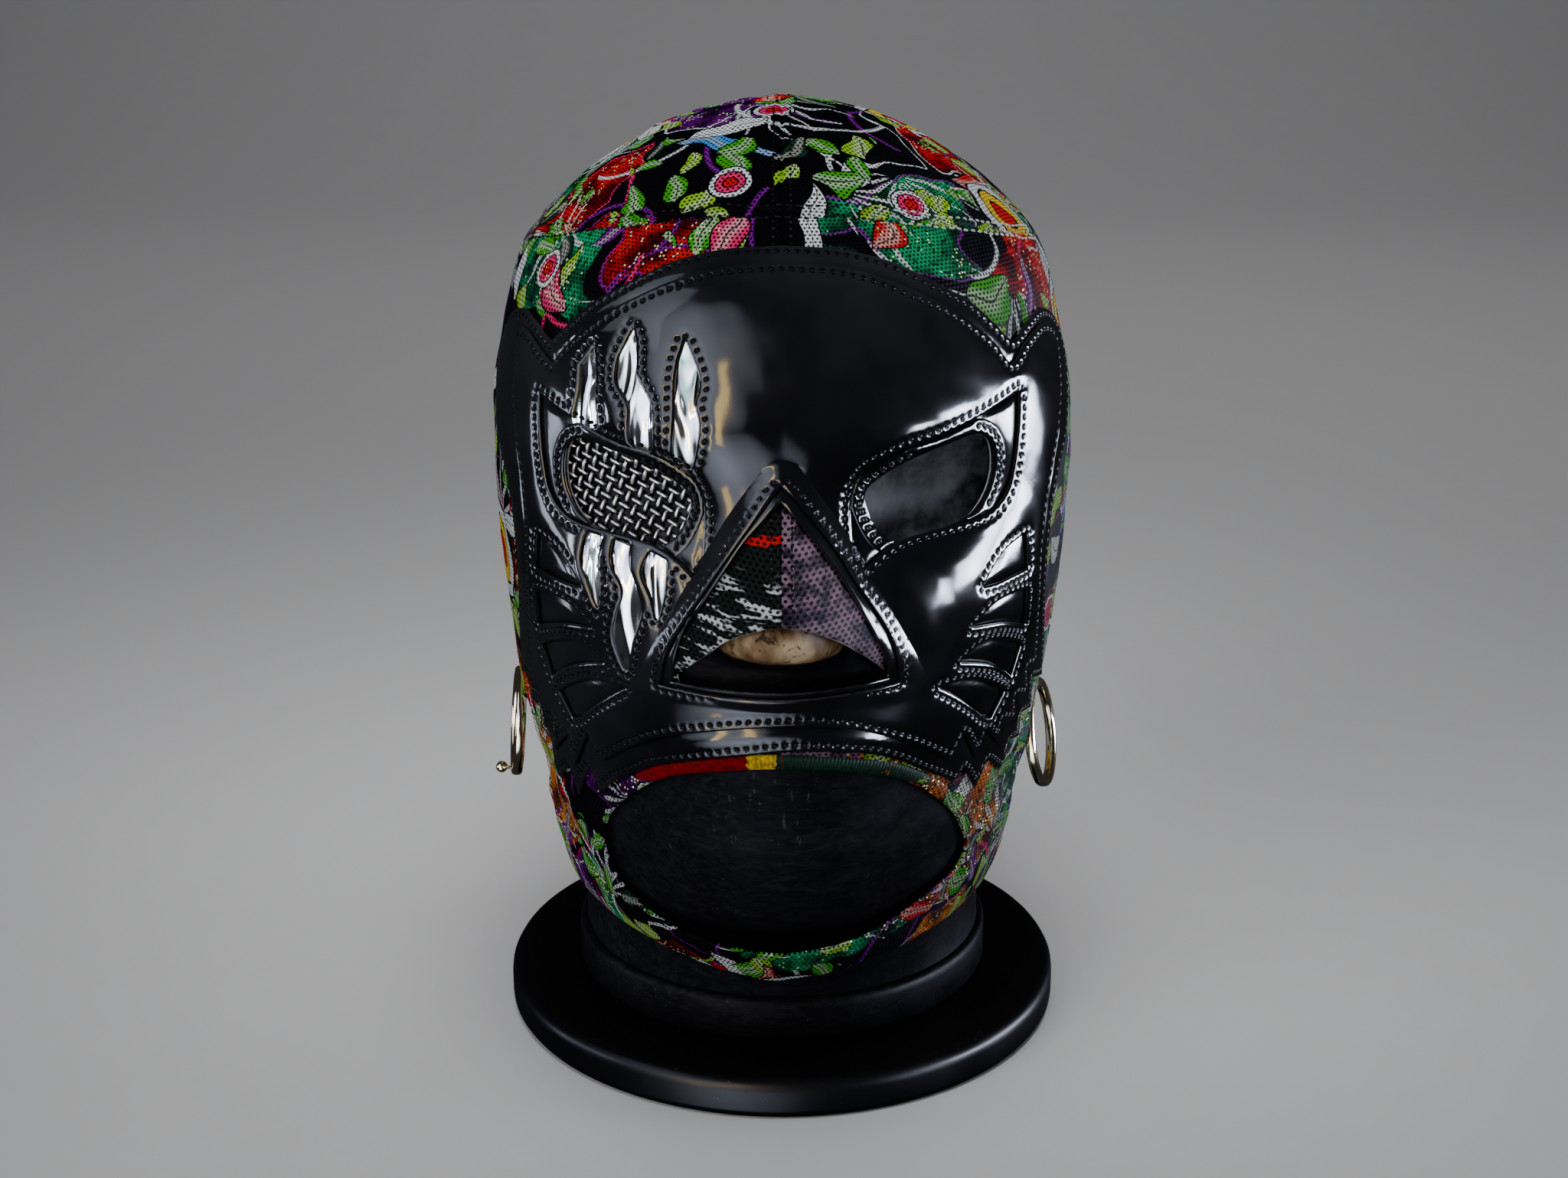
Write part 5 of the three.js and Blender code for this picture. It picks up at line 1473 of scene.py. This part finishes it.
def sewn(name, node, shell, rows, offset, inner, sizes, looks, coarse=3.6):
    """Builds a patent piece and its stitches"""
    place(shell.mesh(f"patent_{name}", offset, inner, looks, coarse), "patent_vinyl", node)
    place(stitch_mesh(f"{name}_stitches", rows, shell, offset, sizes, looks[2]), "patent_vinyl")


class MASK_OT_form(bpy.types.Operator):
    """Builds the display head and its foot"""

    bl_idname = "mask.form"
    bl_label = "Head and foot"

    def execute(self, context):
        azimuth = full_turn(FORM_COLUMNS)
        wrapped = (azimuth + math.pi) % (2 * math.pi) - math.pi
        rows = [np.column_stack([polar(azimuth, r), np.full(FORM_COLUMNS, z)]) for r, z in COLLAR_PROFILE]
        steps = np.concatenate([np.linspace(*part, endpoint=False) for part in FORM_STEPS])
        for step in np.append(steps, FORM_STEPS[-1][1]):
            at = np.full(FORM_COLUMNS, step)
            z = np.interp(at, STEPS, HEIGHTS)
            rows.append(np.column_stack([polar(azimuth, form_radius(wrapped, at, z)), z]))
        points = np.vstack([*rows, [(0, 0, COLLAR_PROFILE[0][1]), (0, 0, CROWN)]])
        faces = band_faces(len(rows), FORM_COLUMNS)
        last = (len(rows) - 1) * FORM_COLUMNS
        for k in range(FORM_COLUMNS):
            j = (k + 1) % FORM_COLUMNS
            faces.append((j, k, len(points) - 2))
            faces.append((last + k, last + j, len(points) - 1))
        head = mesh_object("display_head", points, faces, [form_material("satin_form")])
        crease(head, 50)
        place(head, "form_satin", "head_form")
        foot = lathe("display_foot", FOOT_PROFILE, FOOT_SEGMENTS, [gloss_material("gloss_stand")])
        crease(foot, 50)
        place(foot, "stand_gloss", "stand_foot")
        return {"FINISHED"}


class MASK_OT_hood(bpy.types.Operator):
    """Builds the printed cloth hood, its seams and the binding of the mouth"""

    bl_idname = "mask.hood"
    bl_label = "Cloth hood"

    def execute(self, context):
        sizes = context.scene.mask_sizes
        colours = context.scene.mask_colours
        looks = cloth_looks(sizes, colours)
        mouth = smooth_run(MOUTH, closed=True)
        holes = [eye_hole("left", 0.5), eye_hole("right", 0.5), outline(NOSTRILS), mouth, slit_outline()]
        rim = np.linspace(-BACK_U, BACK_U, 720, endpoint=False)
        hem = np.column_stack([rim, np.full(len(rim), HEM)])
        heights = np.linspace(HEM, CROWN - 0.2, 200)
        lines = [smooth_run(FOREHEAD_SEAM)]
        for u, start in ((0, 156), (BACK_U, SLIT["top"] + 6)):
            lines.append(np.array([(u, z) for z in heights if z > start]))
        seams = [on_chart(line, closed=False) for line in lines]
        ridges = np.vstack([Shell.moved(seam, side * gap)[2:-2]
                            for seam in seams for gap in SEAM_RIDGES for side in (-1, 1)])
        shell = Shell([hem], holes, sizes.cloth_spacing, (HEM, CROWN, BACK_U), lines=lines, extra=ridges)
        offset = self.relief(shell, seams, sizes)
        hood = shell.mesh("cloth_hood", offset, HOOD_LAYER[0], looks, coarse=4.5)
        place(hood, "printed_cloth", "hood")
        self.seam_stitches(shell, seams, offset, sizes, colours)
        self.binding(mouth, sizes, colours, looks[0])
        return {"FINISHED"}

    @staticmethod
    def relief(shell, seams, sizes):
        """Folds where the cloth is free, and the grooves and swellings of its seams"""
        under = on_chart(under_outline())
        covered = inside(shell.chart, under)
        free = np.where(covered, 0, soft_step(Lines([surface(under)]).near(shell.base) / 5))
        z = to_pattern(shell.chart)[1]
        loose = (0.45 + 1.1 * soft_step((125 - z) / 50)) * (0.2 + 0.8 * soft_step((z - HEM - 4) / 16))
        drawn = shell.base * FOLDS["stretch"]
        folds = ripple(drawn, FOLDS["large"], 5) + 0.5 * ripple(drawn, FOLDS["small"], 6)
        offset = HOOD_LAYER[1] + sizes.wrinkle * loose * folds * free
        gap = Lines([surface(seam) for seam in seams], closed=False).near(shell.base)
        for depth, distance, width in SEAM_RELIEF:
            offset = offset - depth * bell(gap - distance, width)
        offset = np.maximum(offset - shell.rolled("cloth"), HOOD_LAYER[0] + 0.15)
        return np.where(covered, np.minimum(offset, UNDER_LAYER[0] - 0.1), offset)

    @staticmethod
    def seam_stitches(shell, seams, offset, sizes, colours):
        """Rows of stitches beside the seams, pale at the viewer's right end of the forehead's"""
        rows = {"pale": [], "dark": []}
        for seam, end in zip(seams, ("pale", "dark", "dark")):
            for side in (-1, 1):
                path = Shell.moved(seam, side * ROW_INSET["seam"])[2:-2]
                right = to_pattern(path)[0] > PALE_THREAD_FROM
                for part, shade in ((path[~right], "dark"), (path[right], end)):
                    if len(part) > 8:
                        rows[shade].append(part)
        for shade, colour in (("pale", colours.pale_thread), ("dark", colours.thread)):
            thread = thread_material(f"{shade}_thread", colour)
            name = f"hood_stitches_{shade}"
            place(stitch_mesh(name, rows[shade], shell, offset, sizes, thread, lift=0.02), "printed_cloth")

    @staticmethod
    def binding(mouth, sizes, colours, cloth):
        """Ribbed threads over the top edge of the mouth, which turn into a narrow folded edge below"""
        fine = to_chart(dense(mouth, 0.2))
        loop = np.vstack([fine, fine[:1]])
        length = lengths(surface(loop)).sum()
        ribs = int(round(length / sizes.binding_pitch))
        chart, along = resampled(loop, length / (ribs * BINDING["steps"]), 0)
        base = surface(chart)
        normal = normals_at(chart)
        out = np.cross(normal, along) * -np.sign(signed_area(fine))
        top = soft_step((base[:, 2] - BINDING["from"]) / BINDING["soft"])
        width = (BINDING["fold"] + (sizes.binding_width - BINDING["fold"]) * top)[:, None]
        ridge = np.abs(np.sin(np.arange(len(chart)) * math.pi / BINDING["steps"]))
        height = (BINDING["height"] + BINDING["more"] * top + BINDING["rib"] * (ridge - 0.5) * top)[:, None]
        centre = base + out * (width / 2 - BINDING["lap"]) + normal * BINDING["lift"]
        sides = BINDING["sides"]
        rings = [centre + out * math.cos(t) * width / 2 + normal * math.sin(t) * height
                 for t in full_turn(sides)]
        rings = np.stack(rings, axis=1).reshape(-1, 3)
        faces = ring_faces(len(chart), sides, True)
        below = [int(rings[face[0], 2] < FOLD_BELOW) for face in faces]
        threads = binding_material("edge_threads", colours)
        piece = mesh_object("mouth_binding", rings, faces, [threads, cloth], below)
        print_map(piece)
        corners = values_of(piece.data.loops, "vertex_index", kind=int)
        share = corners // sides / len(chart)
        add_map(piece.data, "along", np.column_stack([share, corners % sides / sides]))
        place(piece, "printed_cloth")


class MASK_OT_panels(bpy.types.Operator):
    """Builds the two patent panels and the patches round the eyes, with their stitches"""

    bl_idname = "mask.panels"
    bl_label = "Patent panels"

    def execute(self, context):
        sizes = context.scene.mask_sizes
        looks = patent_looks(context.scene.mask_colours)
        claws = [outline(claw) for claw in CLAWS] + [outline(mirrored(claw)) for claw in CLAWS]
        windows = [outline(NOSE_WINDOW), eye_window("left"), eye_window("right"), *claws]
        flames = [outline((flame,)) for flame in FLAMES.values()]
        face = Shell([face_outline()], [*windows, *flames], sizes.vinyl_spacing, PANEL_ZONE)
        rows = face.row(ROW_INSET["face"])
        face.refine(rows, sizes.stitch_pitch)
        offset = FACE_LAYER[1] + panel_relief(face, rows, sizes, 1, seed=11)
        sewn("face_panel", "vinyl_face_panel", face, rows, offset, FACE_LAYER[0], sizes, looks)
        edges = [on_chart(line) for line in (face_outline(), *windows)]
        holes = [outline(UNDER_NOSE_WINDOW), eye_hole("left"), eye_hole("right")]
        under = Shell([under_outline()], holes, sizes.vinyl_spacing * 1.25, PANEL_ZONE)
        rows = [path for path in under.row(ROW_INSET["under"]) if not inside(path, edges[0]).all()]
        under.refine(rows, sizes.stitch_pitch)
        covered = inside(under.chart, edges[0])
        for window in edges[1:]:
            covered &= ~inside(under.chart, window)
        away = Lines([surface(edge) for edge in edges]).near(under.base)
        relief = panel_relief(under, rows, sizes, 1, seed=21)
        relief = relief * ~covered * np.where(relief > 0, 1.3 * soft_step(away / 2.2), 1)
        offset = UNDER_LAYER[1] + relief
        sewn("under_panel", "vinyl_under_panel", under, rows, offset, UNDER_LAYER[0], sizes, looks)
        for side in ("left", "right"):
            self.patch(side, sizes, looks)
        return {"FINISHED"}

    @staticmethod
    def patch(side, sizes, looks):
        """A ring round the eye hole, as far as it shows in the window"""
        edge = grown(eye_window(side), -0.3)
        window = on_chart(edge)
        shell = Shell([eye_hole(side, PATCH_GROWTH)], [eye_hole(side)], 0.7, PATCH_ZONE, lines=[edge],
                      also=lambda points: inside(points, window))
        rows = shell.row(ROW_INSET["patch"])
        shell.refine(rows, sizes.stitch_pitch)
        offset = PATCH_LAYER[1] + panel_relief(shell, rows, sizes, 0.5, seed=31, depth=PATCH_DIP)
        name = f"eye_patch_{side}"
        sewn(name, name, shell, rows, offset, PATCH_LAYER[0], sizes, looks, coarse=2)


class MASK_OT_inlays(bpy.types.Operator):
    """Builds the mirror inlays behind the flame windows"""

    bl_idname = "mask.inlays"
    bl_label = "Silver inlays"

    def execute(self, context):
        colours = context.scene.mask_colours
        silver = foil_material("silver_inlay", colours.silver)
        edge = metal_material("silver_edge", colours.silver, 0.3, 0.5)
        crossing = on_chart(grown(eye_window("left"), INLAY_LAP))
        rows = []
        seen = []
        for name, flame in FLAMES.items():
            shape = grown(outline((flame,)), INLAY_LAP)
            shell = Shell([shape], [eye_hole("left", 1.2)], 0.8, INLAY_ZONE)
            relief = 0.22 * ripple(shell.base, 13, len(name)) * np.minimum(shell.edge_distance / 2, 1)
            offset = INLAY_LAYER[1] + np.clip(relief, -0.1, 0.35)
            piece = shell.mesh(f"silver_flame_{name}", offset, INLAY_LAYER[0], [silver, edge], coarse=2)
            place(piece, "silver_inlay", f"flame_inlay_{name}")
            seen.append((shell.base, offset))
            within = inside(crossing, on_chart(shape))
            first = int(np.argmin(within))
            path = np.roll(crossing, -first, axis=0)[np.roll(within, -first)]
            if len(path) > 2:
                rows.append(path)
        base, offset = (np.concatenate(part) for part in zip(*seen))
        stitches = stitch_mesh("flame_stitches", rows, SimpleNamespace(base=base), offset + 0.3,
                               context.scene.mask_sizes, thread_material("dark_thread", colours.thread))
        place(stitches, "silver_inlay")
        return {"FINISHED"}


class MASK_OT_screen(bpy.types.Operator):
    """Weaves the wire screen behind the left eye hole"""

    bl_idname = "mask.screen"
    bl_label = "Eye screen"

    def execute(self, context):
        radius = context.scene.mask_sizes.wire_radius
        steel = wire_material("steel_wire", context.scene.mask_colours.steel)
        bounds = eye_hole("left", 1.5)
        middle = bounds.mean(axis=0)
        bounds = to_chart(bounds)
        points = []
        faces = []
        levels = []
        for angle, pitch, cross, phase in WEAVES:
            ahead = np.array((math.cos(math.radians(angle)), math.sin(math.radians(angle))))
            aside = np.array((-ahead[1], ahead[0]))
            for k in range(-WEAVE["wires"], WEAVE["wires"] + 1):
                along = np.arange(-WEAVE["reach"], WEAVE["reach"], WEAVE["step"])
                line = to_chart(middle + ahead * along[:, None] + aside * (k * pitch))
                kept = np.flatnonzero(inside(line, bounds))
                if len(kept) < 6:
                    continue
                line = line[kept[0] : kept[-1] + 1]
                along = along[kept[0] : kept[-1] + 1]
                wave = np.tanh(WEAVE["bend"] * np.cos(math.pi * along / cross + k * math.pi + phase))
                places = surface(line) + normals_at(line) * (SCREEN_LEVEL + radius * wave)[:, None]
                made, joined = tube(places, radius, WEAVE["sides"])
                faces += [tuple(len(points) + v for v in face) for face in joined]
                points += made.tolist()
                # Each wire's level in the weave, from 0 under a crossing to 1 on top, which drives the
                # steel's painted shade
                levels += np.repeat(wave / 2 + 0.5, WEAVE["sides"]).tolist()
        screen = mesh_object("steel_eye_screen", np.array(points), faces, [steel])
        level = np.array(levels)[values_of(screen.data.loops, "vertex_index", kind=int)]
        add_map(screen.data, "level", np.column_stack([level, np.zeros(len(level))]))
        place(screen, "steel_wire", "eye_screen")
        return {"FINISHED"}


class MASK_OT_hoops(bpy.types.Operator):
    """Builds the two hoops"""

    bl_idname = "mask.hoops"
    bl_label = "Hoops"

    def execute(self, context):
        colour = context.scene.mask_colours.gold
        gold = metal_material("pale_gold", colour, 0.08, 0.2, 0.12, (0.9, 0.62, 0.32))
        depth = HOOP["band"] / 2
        section = []
        for t in full_turn(HOOP["sides"]):
            out = math.copysign(abs(math.cos(t)) ** 0.8, math.cos(t))
            wide = math.copysign(abs(math.sin(t)) ** 0.7, math.sin(t))
            section.append((HOOP["radius"] - depth + depth * out, HOOP["width"] / 2 * wide))
        for side, where in HOOPS.items():
            points = [(across, r * math.cos(t), r * math.sin(t)) for t in full_turn(HOOP["steps"])
                      for r, across in section]
            faces = ring_faces(HOOP["steps"], len(section), True)
            if side == "left":
                self.add_ball(points, faces)
            lean = math.radians(where["lean"])
            turn = math.radians(where["turn"])
            x, y, z = np.array(points).T
            x, z = x * math.cos(lean) + z * math.sin(lean), z * math.cos(lean) - x * math.sin(lean)
            x, y = x * math.cos(turn) - y * math.sin(turn), x * math.sin(turn) + y * math.cos(turn)
            points = np.column_stack([x, y, z]) + where["centre"]
            piece = mesh_object(f"gold_hoop_{side}", points, faces, [gold])
            crease(piece, 60)
            place(piece, "hoop_metal", f"hoop_{side}")
        return {"FINISHED"}

    @staticmethod
    def add_ball(points, faces):
        """Adds the little ball at the foot of a hoop, and the post that holds it."""
        foot = -HOOP["radius"] + HOOP["band"] / 2
        reach, radius = HOOP_BALL["reach"], HOOP_BALL["radius"]
        post = [(-x, HOOP_BALL["post"]) for x in np.linspace(0.5, reach, 5)]
        ball = [(-reach - radius * math.cos(tilt), radius * math.sin(tilt))
                for tilt in np.linspace(0.05, math.pi - 0.05, HOOP_BALL["rings"])]
        for rings, sides in ((post, HOOP_BALL["post_sides"]), (ball, HOOP_BALL["sides"])):
            faces += ring_faces(len(rings), sides, False, len(points))
            points += [(x, r * math.cos(t), foot + r * math.sin(t))
                       for x, r in rings for t in full_turn(sides)]


class MASK_OT_closure(bpy.types.Operator):
    """Builds the tongue, the two plackets and their eyelets at the back"""

    bl_idname = "mask.closure"
    bl_label = "Back closure"

    def execute(self, context):
        sizes = context.scene.mask_sizes
        colours = context.scene.mask_colours
        shape = rectangle(-TONGUE["half"], TONGUE["half"], TONGUE["bottom"], TONGUE["top"])
        shell = Shell([shape], [], 1.8, CLOSURE_ZONE)
        offset = TONGUE_LAYER[1] - shell.rolled("tongue")
        tongue = shell.mesh("cloth_tongue", offset, TONGUE_LAYER[0], cloth_looks(sizes, colours))
        place(tongue, "printed_cloth", "closure_tongue")
        looks = patent_looks(colours)
        steel = metal_material("eyelet_steel", colours.steel, 0.12, 0.25)
        circle = np.column_stack([np.cos(full_turn(20)), np.sin(full_turn(20))]) * EYELET["hole"]
        for side, name in ((-1, "left"), (1, "right")):
            across = sorted((side * PLACKET["inner"], side * PLACKET["outer"]))
            shape = rectangle(*across, PLACKET["bottom"], PLACKET["top"])
            places = [(BACK_U + side * EYELET["u"], height) for height in EYELET["heights"]]
            shell = Shell([shape], [circle + centre for centre in places], 1.0, CLOSURE_ZONE)
            rows = [path for path in shell.row(ROW_INSET["placket"]) if len(path) > 60]
            shell.refine(rows, sizes.stitch_pitch)
            offset = UNDER_LAYER[1] + panel_relief(shell, rows, sizes, 0.6, seed=41)
            sewn(f"placket_{name}", f"placket_{name}", shell, rows, offset, UNDER_LAYER[0], sizes, looks)
            for k, centre in enumerate(places):
                self.eyelet(f"{name}_{k + 1}", centre, steel)
        return {"FINISHED"}

    @staticmethod
    def eyelet(name, centre, material):
        chart = to_chart([centre])
        centre = surface(chart)[0]
        normal = normals_at(chart)[0]
        across = np.cross((0, 0, 1), normal)
        across /= np.linalg.norm(across)
        up = np.cross(normal, across)
        points = []
        for t in full_turn(EYELET["sides"]):
            out = across * math.cos(t) + up * math.sin(t)
            points += [centre + out * radius + normal * level for radius, level in EYELET_PROFILE]
        faces = [face[::-1] for face in ring_faces(EYELET["sides"], len(EYELET_PROFILE), True)]
        piece = mesh_object(f"steel_eyelet_{name}", np.array(points), faces, [material])
        place(piece, "eyelet_metal", f"eyelet_{name}")


# The stage, in metres. A light has a place seen from the mask (degrees round, degrees up, distance), a size,
# a power, a spread and a tint. The pale ones light the cloth and the floor; the others are only mirrored in
# what shines.
FLOOR = {"front": -9, "bend": 1.6, "radius": 1.2, "top": 3.6, "half": 8, "steps": 14}
LIGHT_TARGET = (0, 0, 0.17)
TINTS = {"pale": (0.98, 0.99, 1), "cool": (0.74, 0.81, 1), "gold": (1, 0.66, 0.16)}
LIGHTS = (
    ("key_softbox", -44, 34, 1.3, (1.0, 0.8), 2.0, 46, "pale"),
    ("top_softbox", 8, 74, 1.0, (0.5, 0.5), 1.1, 40, "pale"),
    ("right_side", 92, 12, 1.0, (0.5, 0.5), 0.6, 46, "pale"),
    ("left_side", -98, 6, 1.0, (0.5, 0.5), 0.4, 46, "pale"),
    ("floor_bounce", -4, -14, 1.2, (0.6, 0.6), 0.8, 46, "pale"),
    ("left_glow", -36, 16, 1.3, (1.4, 1.4), 6.0, 64, "cool"),
    ("left_low", -20, -24, 1.3, (1.2, 1.2), 4.4, 56, "cool"),
    ("left_strip", -74, 0, 0.9, (0.1, 0.18), 0.32, 60, "cool"),
    ("left_wall", -92, -8, 0.9, (0.14, 0.26), 0.2, 60, "cool"),
    ("left_high", -64, 38, 1.2, (0.64, 0.7), 1.2, 90, "cool"),
    ("gold_reflector", -18, 8, 1.2, (0.1, 0.75), 1.5, 90, "gold"),
    ("gold_lower", -31, -4, 1.2, (0.1, 0.5), 0.9, 90, "gold"),
    ("right_front", 75, -2, 0.85, (0.46, 0.22), 2.3, 36, "cool"),
    ("right_wall", 99, -5, 0.85, (0.46, 0.22), 2.1, 36, "cool"),
    ("right_corner", 53, -9, 0.85, (0.2, 0.2), 0.3, 24, "cool"),
)
BACKDROP = {"size": 1.2, "power": 26, "place": (0, 0.8, 1.7), "tilt": 38}


def add_light(name, size, power):
    data = bpy.data.lights.new(name, "AREA")
    data.shape = "RECTANGLE"
    data.size, data.size_y = size
    data.energy = power
    lamp = bpy.data.objects.new(name, data)
    bpy.context.scene.collection.objects.link(lamp)
    return lamp


class MASK_OT_stage(bpy.types.Operator):
    """Sets up the floor, the lights and the camera"""

    bl_idname = "mask.stage"
    bl_label = "Stage"

    def execute(self, context):
        stage = context.scene.mask_stage
        self.floor(stage)
        for name, azimuth, rise, distance, size, power, spread, tint in LIGHTS:
            lamp = add_light(name, size, power)
            lamp.data.color = TINTS[tint]
            lamp.data.spread = math.radians(spread)
            lamp.visible_camera = False
            lamp.visible_diffuse = tint == "pale"
            lamp.visible_glossy = tint != "pale"
            azimuth = math.radians(azimuth)
            rise = math.radians(rise)
            level = distance * math.cos(rise)
            away = Vector((level * math.sin(azimuth), -level * math.cos(azimuth), distance * math.sin(rise)))
            lamp.location = Vector(LIGHT_TARGET) + away
            lamp.rotation_euler = (-away).to_track_quat("-Z", "Y").to_euler()
        lamp = add_light("backdrop_light", (BACKDROP["size"], BACKDROP["size"]), BACKDROP["power"])
        lamp.visible_glossy = False
        lamp.location = BACKDROP["place"]
        lamp.rotation_euler = (math.radians(BACKDROP["tilt"]), 0, 0)
        world = bpy.data.worlds.new("studio")
        world.use_nodes = True
        world.node_tree.nodes["Background"].inputs["Color"].default_value = (0.8, 0.82, 0.86, 1)
        world.node_tree.nodes["Background"].inputs["Strength"].default_value = stage.ambient
        context.scene.world = world
        context.scene.view_settings.look = "AgX - Punchy"
        data = bpy.data.cameras.new("camera")
        data.sensor_width = 36
        data.lens = stage.lens
        camera = bpy.data.objects.new("camera", data)
        camera.location = stage.camera
        camera.rotation_euler = (math.pi / 2 - stage.pitch, 0, 0)
        context.scene.collection.objects.link(camera)
        context.scene.camera = camera
        return {"FINISHED"}

    @staticmethod
    def floor(stage):
        """A pale floor that bends up into a backdrop"""
        g = Graph("pale_floor")
        grain = g.noise(g.coordinates(), 60.0, 3.0)
        tone = g.mix(g.between(grain, 0.3, 0.7, 0.0, 0.04), stage.floor, (0.6, 0.6, 0.6))
        material = g.set(Base_Color=tone, Roughness=0.65, Specular_IOR_Level=0.0)
        bend, radius = FLOOR["bend"], FLOOR["radius"]
        turns = np.linspace(0.1, math.pi / 2, FLOOR["steps"])
        profile = [(FLOOR["front"], 0), (bend, 0),
                   *((bend + radius * math.sin(t), radius - radius * math.cos(t)) for t in turns),
                   (bend + radius, FLOOR["top"])]
        points = np.array([(x, y, z) for y, z in profile for x in (-FLOOR["half"], FLOOR["half"])])
        faces = [(2 * k, 2 * k + 1, 2 * k + 3, 2 * k + 2) for k in range(len(profile) - 1)]
        floor = mesh_object("pale_floor", points / MM, faces, [material])
        floor.visible_glossy = False
        floor.visible_shadow = False


OPERATORS = (MASK_OT_form, MASK_OT_hood, MASK_OT_panels, MASK_OT_inlays, MASK_OT_screen, MASK_OT_hoops,
             MASK_OT_closure, MASK_OT_stage)


class MASK_PT_sidebar(bpy.types.Panel):
    """Lists the mask's pieces and sizes"""

    bl_idname = "MASK_PT_sidebar"
    bl_label = "Wrestling mask"
    bl_space_type = "VIEW_3D"
    bl_region_type = "UI"
    bl_category = "Mask"

    def draw(self, context):
        for operator in OPERATORS:
            self.layout.operator(operator.bl_idname)
        for group in (context.scene.mask_sizes, context.scene.mask_colours, context.scene.mask_stage):
            column = self.layout.column()
            for name in group.__annotations__:
                column.prop(group, name)


CLASSES = (MaskSizes, MaskColours, MaskStage, *OPERATORS, MASK_PT_sidebar)


def register():
    for cls in CLASSES:
        bpy.utils.register_class(cls)
    bpy.types.Scene.mask_sizes = bpy.props.PointerProperty(type=MaskSizes)
    bpy.types.Scene.mask_colours = bpy.props.PointerProperty(type=MaskColours)
    bpy.types.Scene.mask_stage = bpy.props.PointerProperty(type=MaskStage)


def unregister():
    del bpy.types.Scene.mask_stage
    del bpy.types.Scene.mask_colours
    del bpy.types.Scene.mask_sizes
    for cls in reversed(CLASSES):
        bpy.utils.unregister_class(cls)


def main():
    register()
    bpy.ops.mask.form()
    bpy.ops.mask.hood()
    bpy.ops.mask.panels()
    bpy.ops.mask.inlays()
    bpy.ops.mask.screen()
    bpy.ops.mask.hoops()
    bpy.ops.mask.closure()
    bpy.ops.mask.stage()


if __name__ == "__main__":
    main()
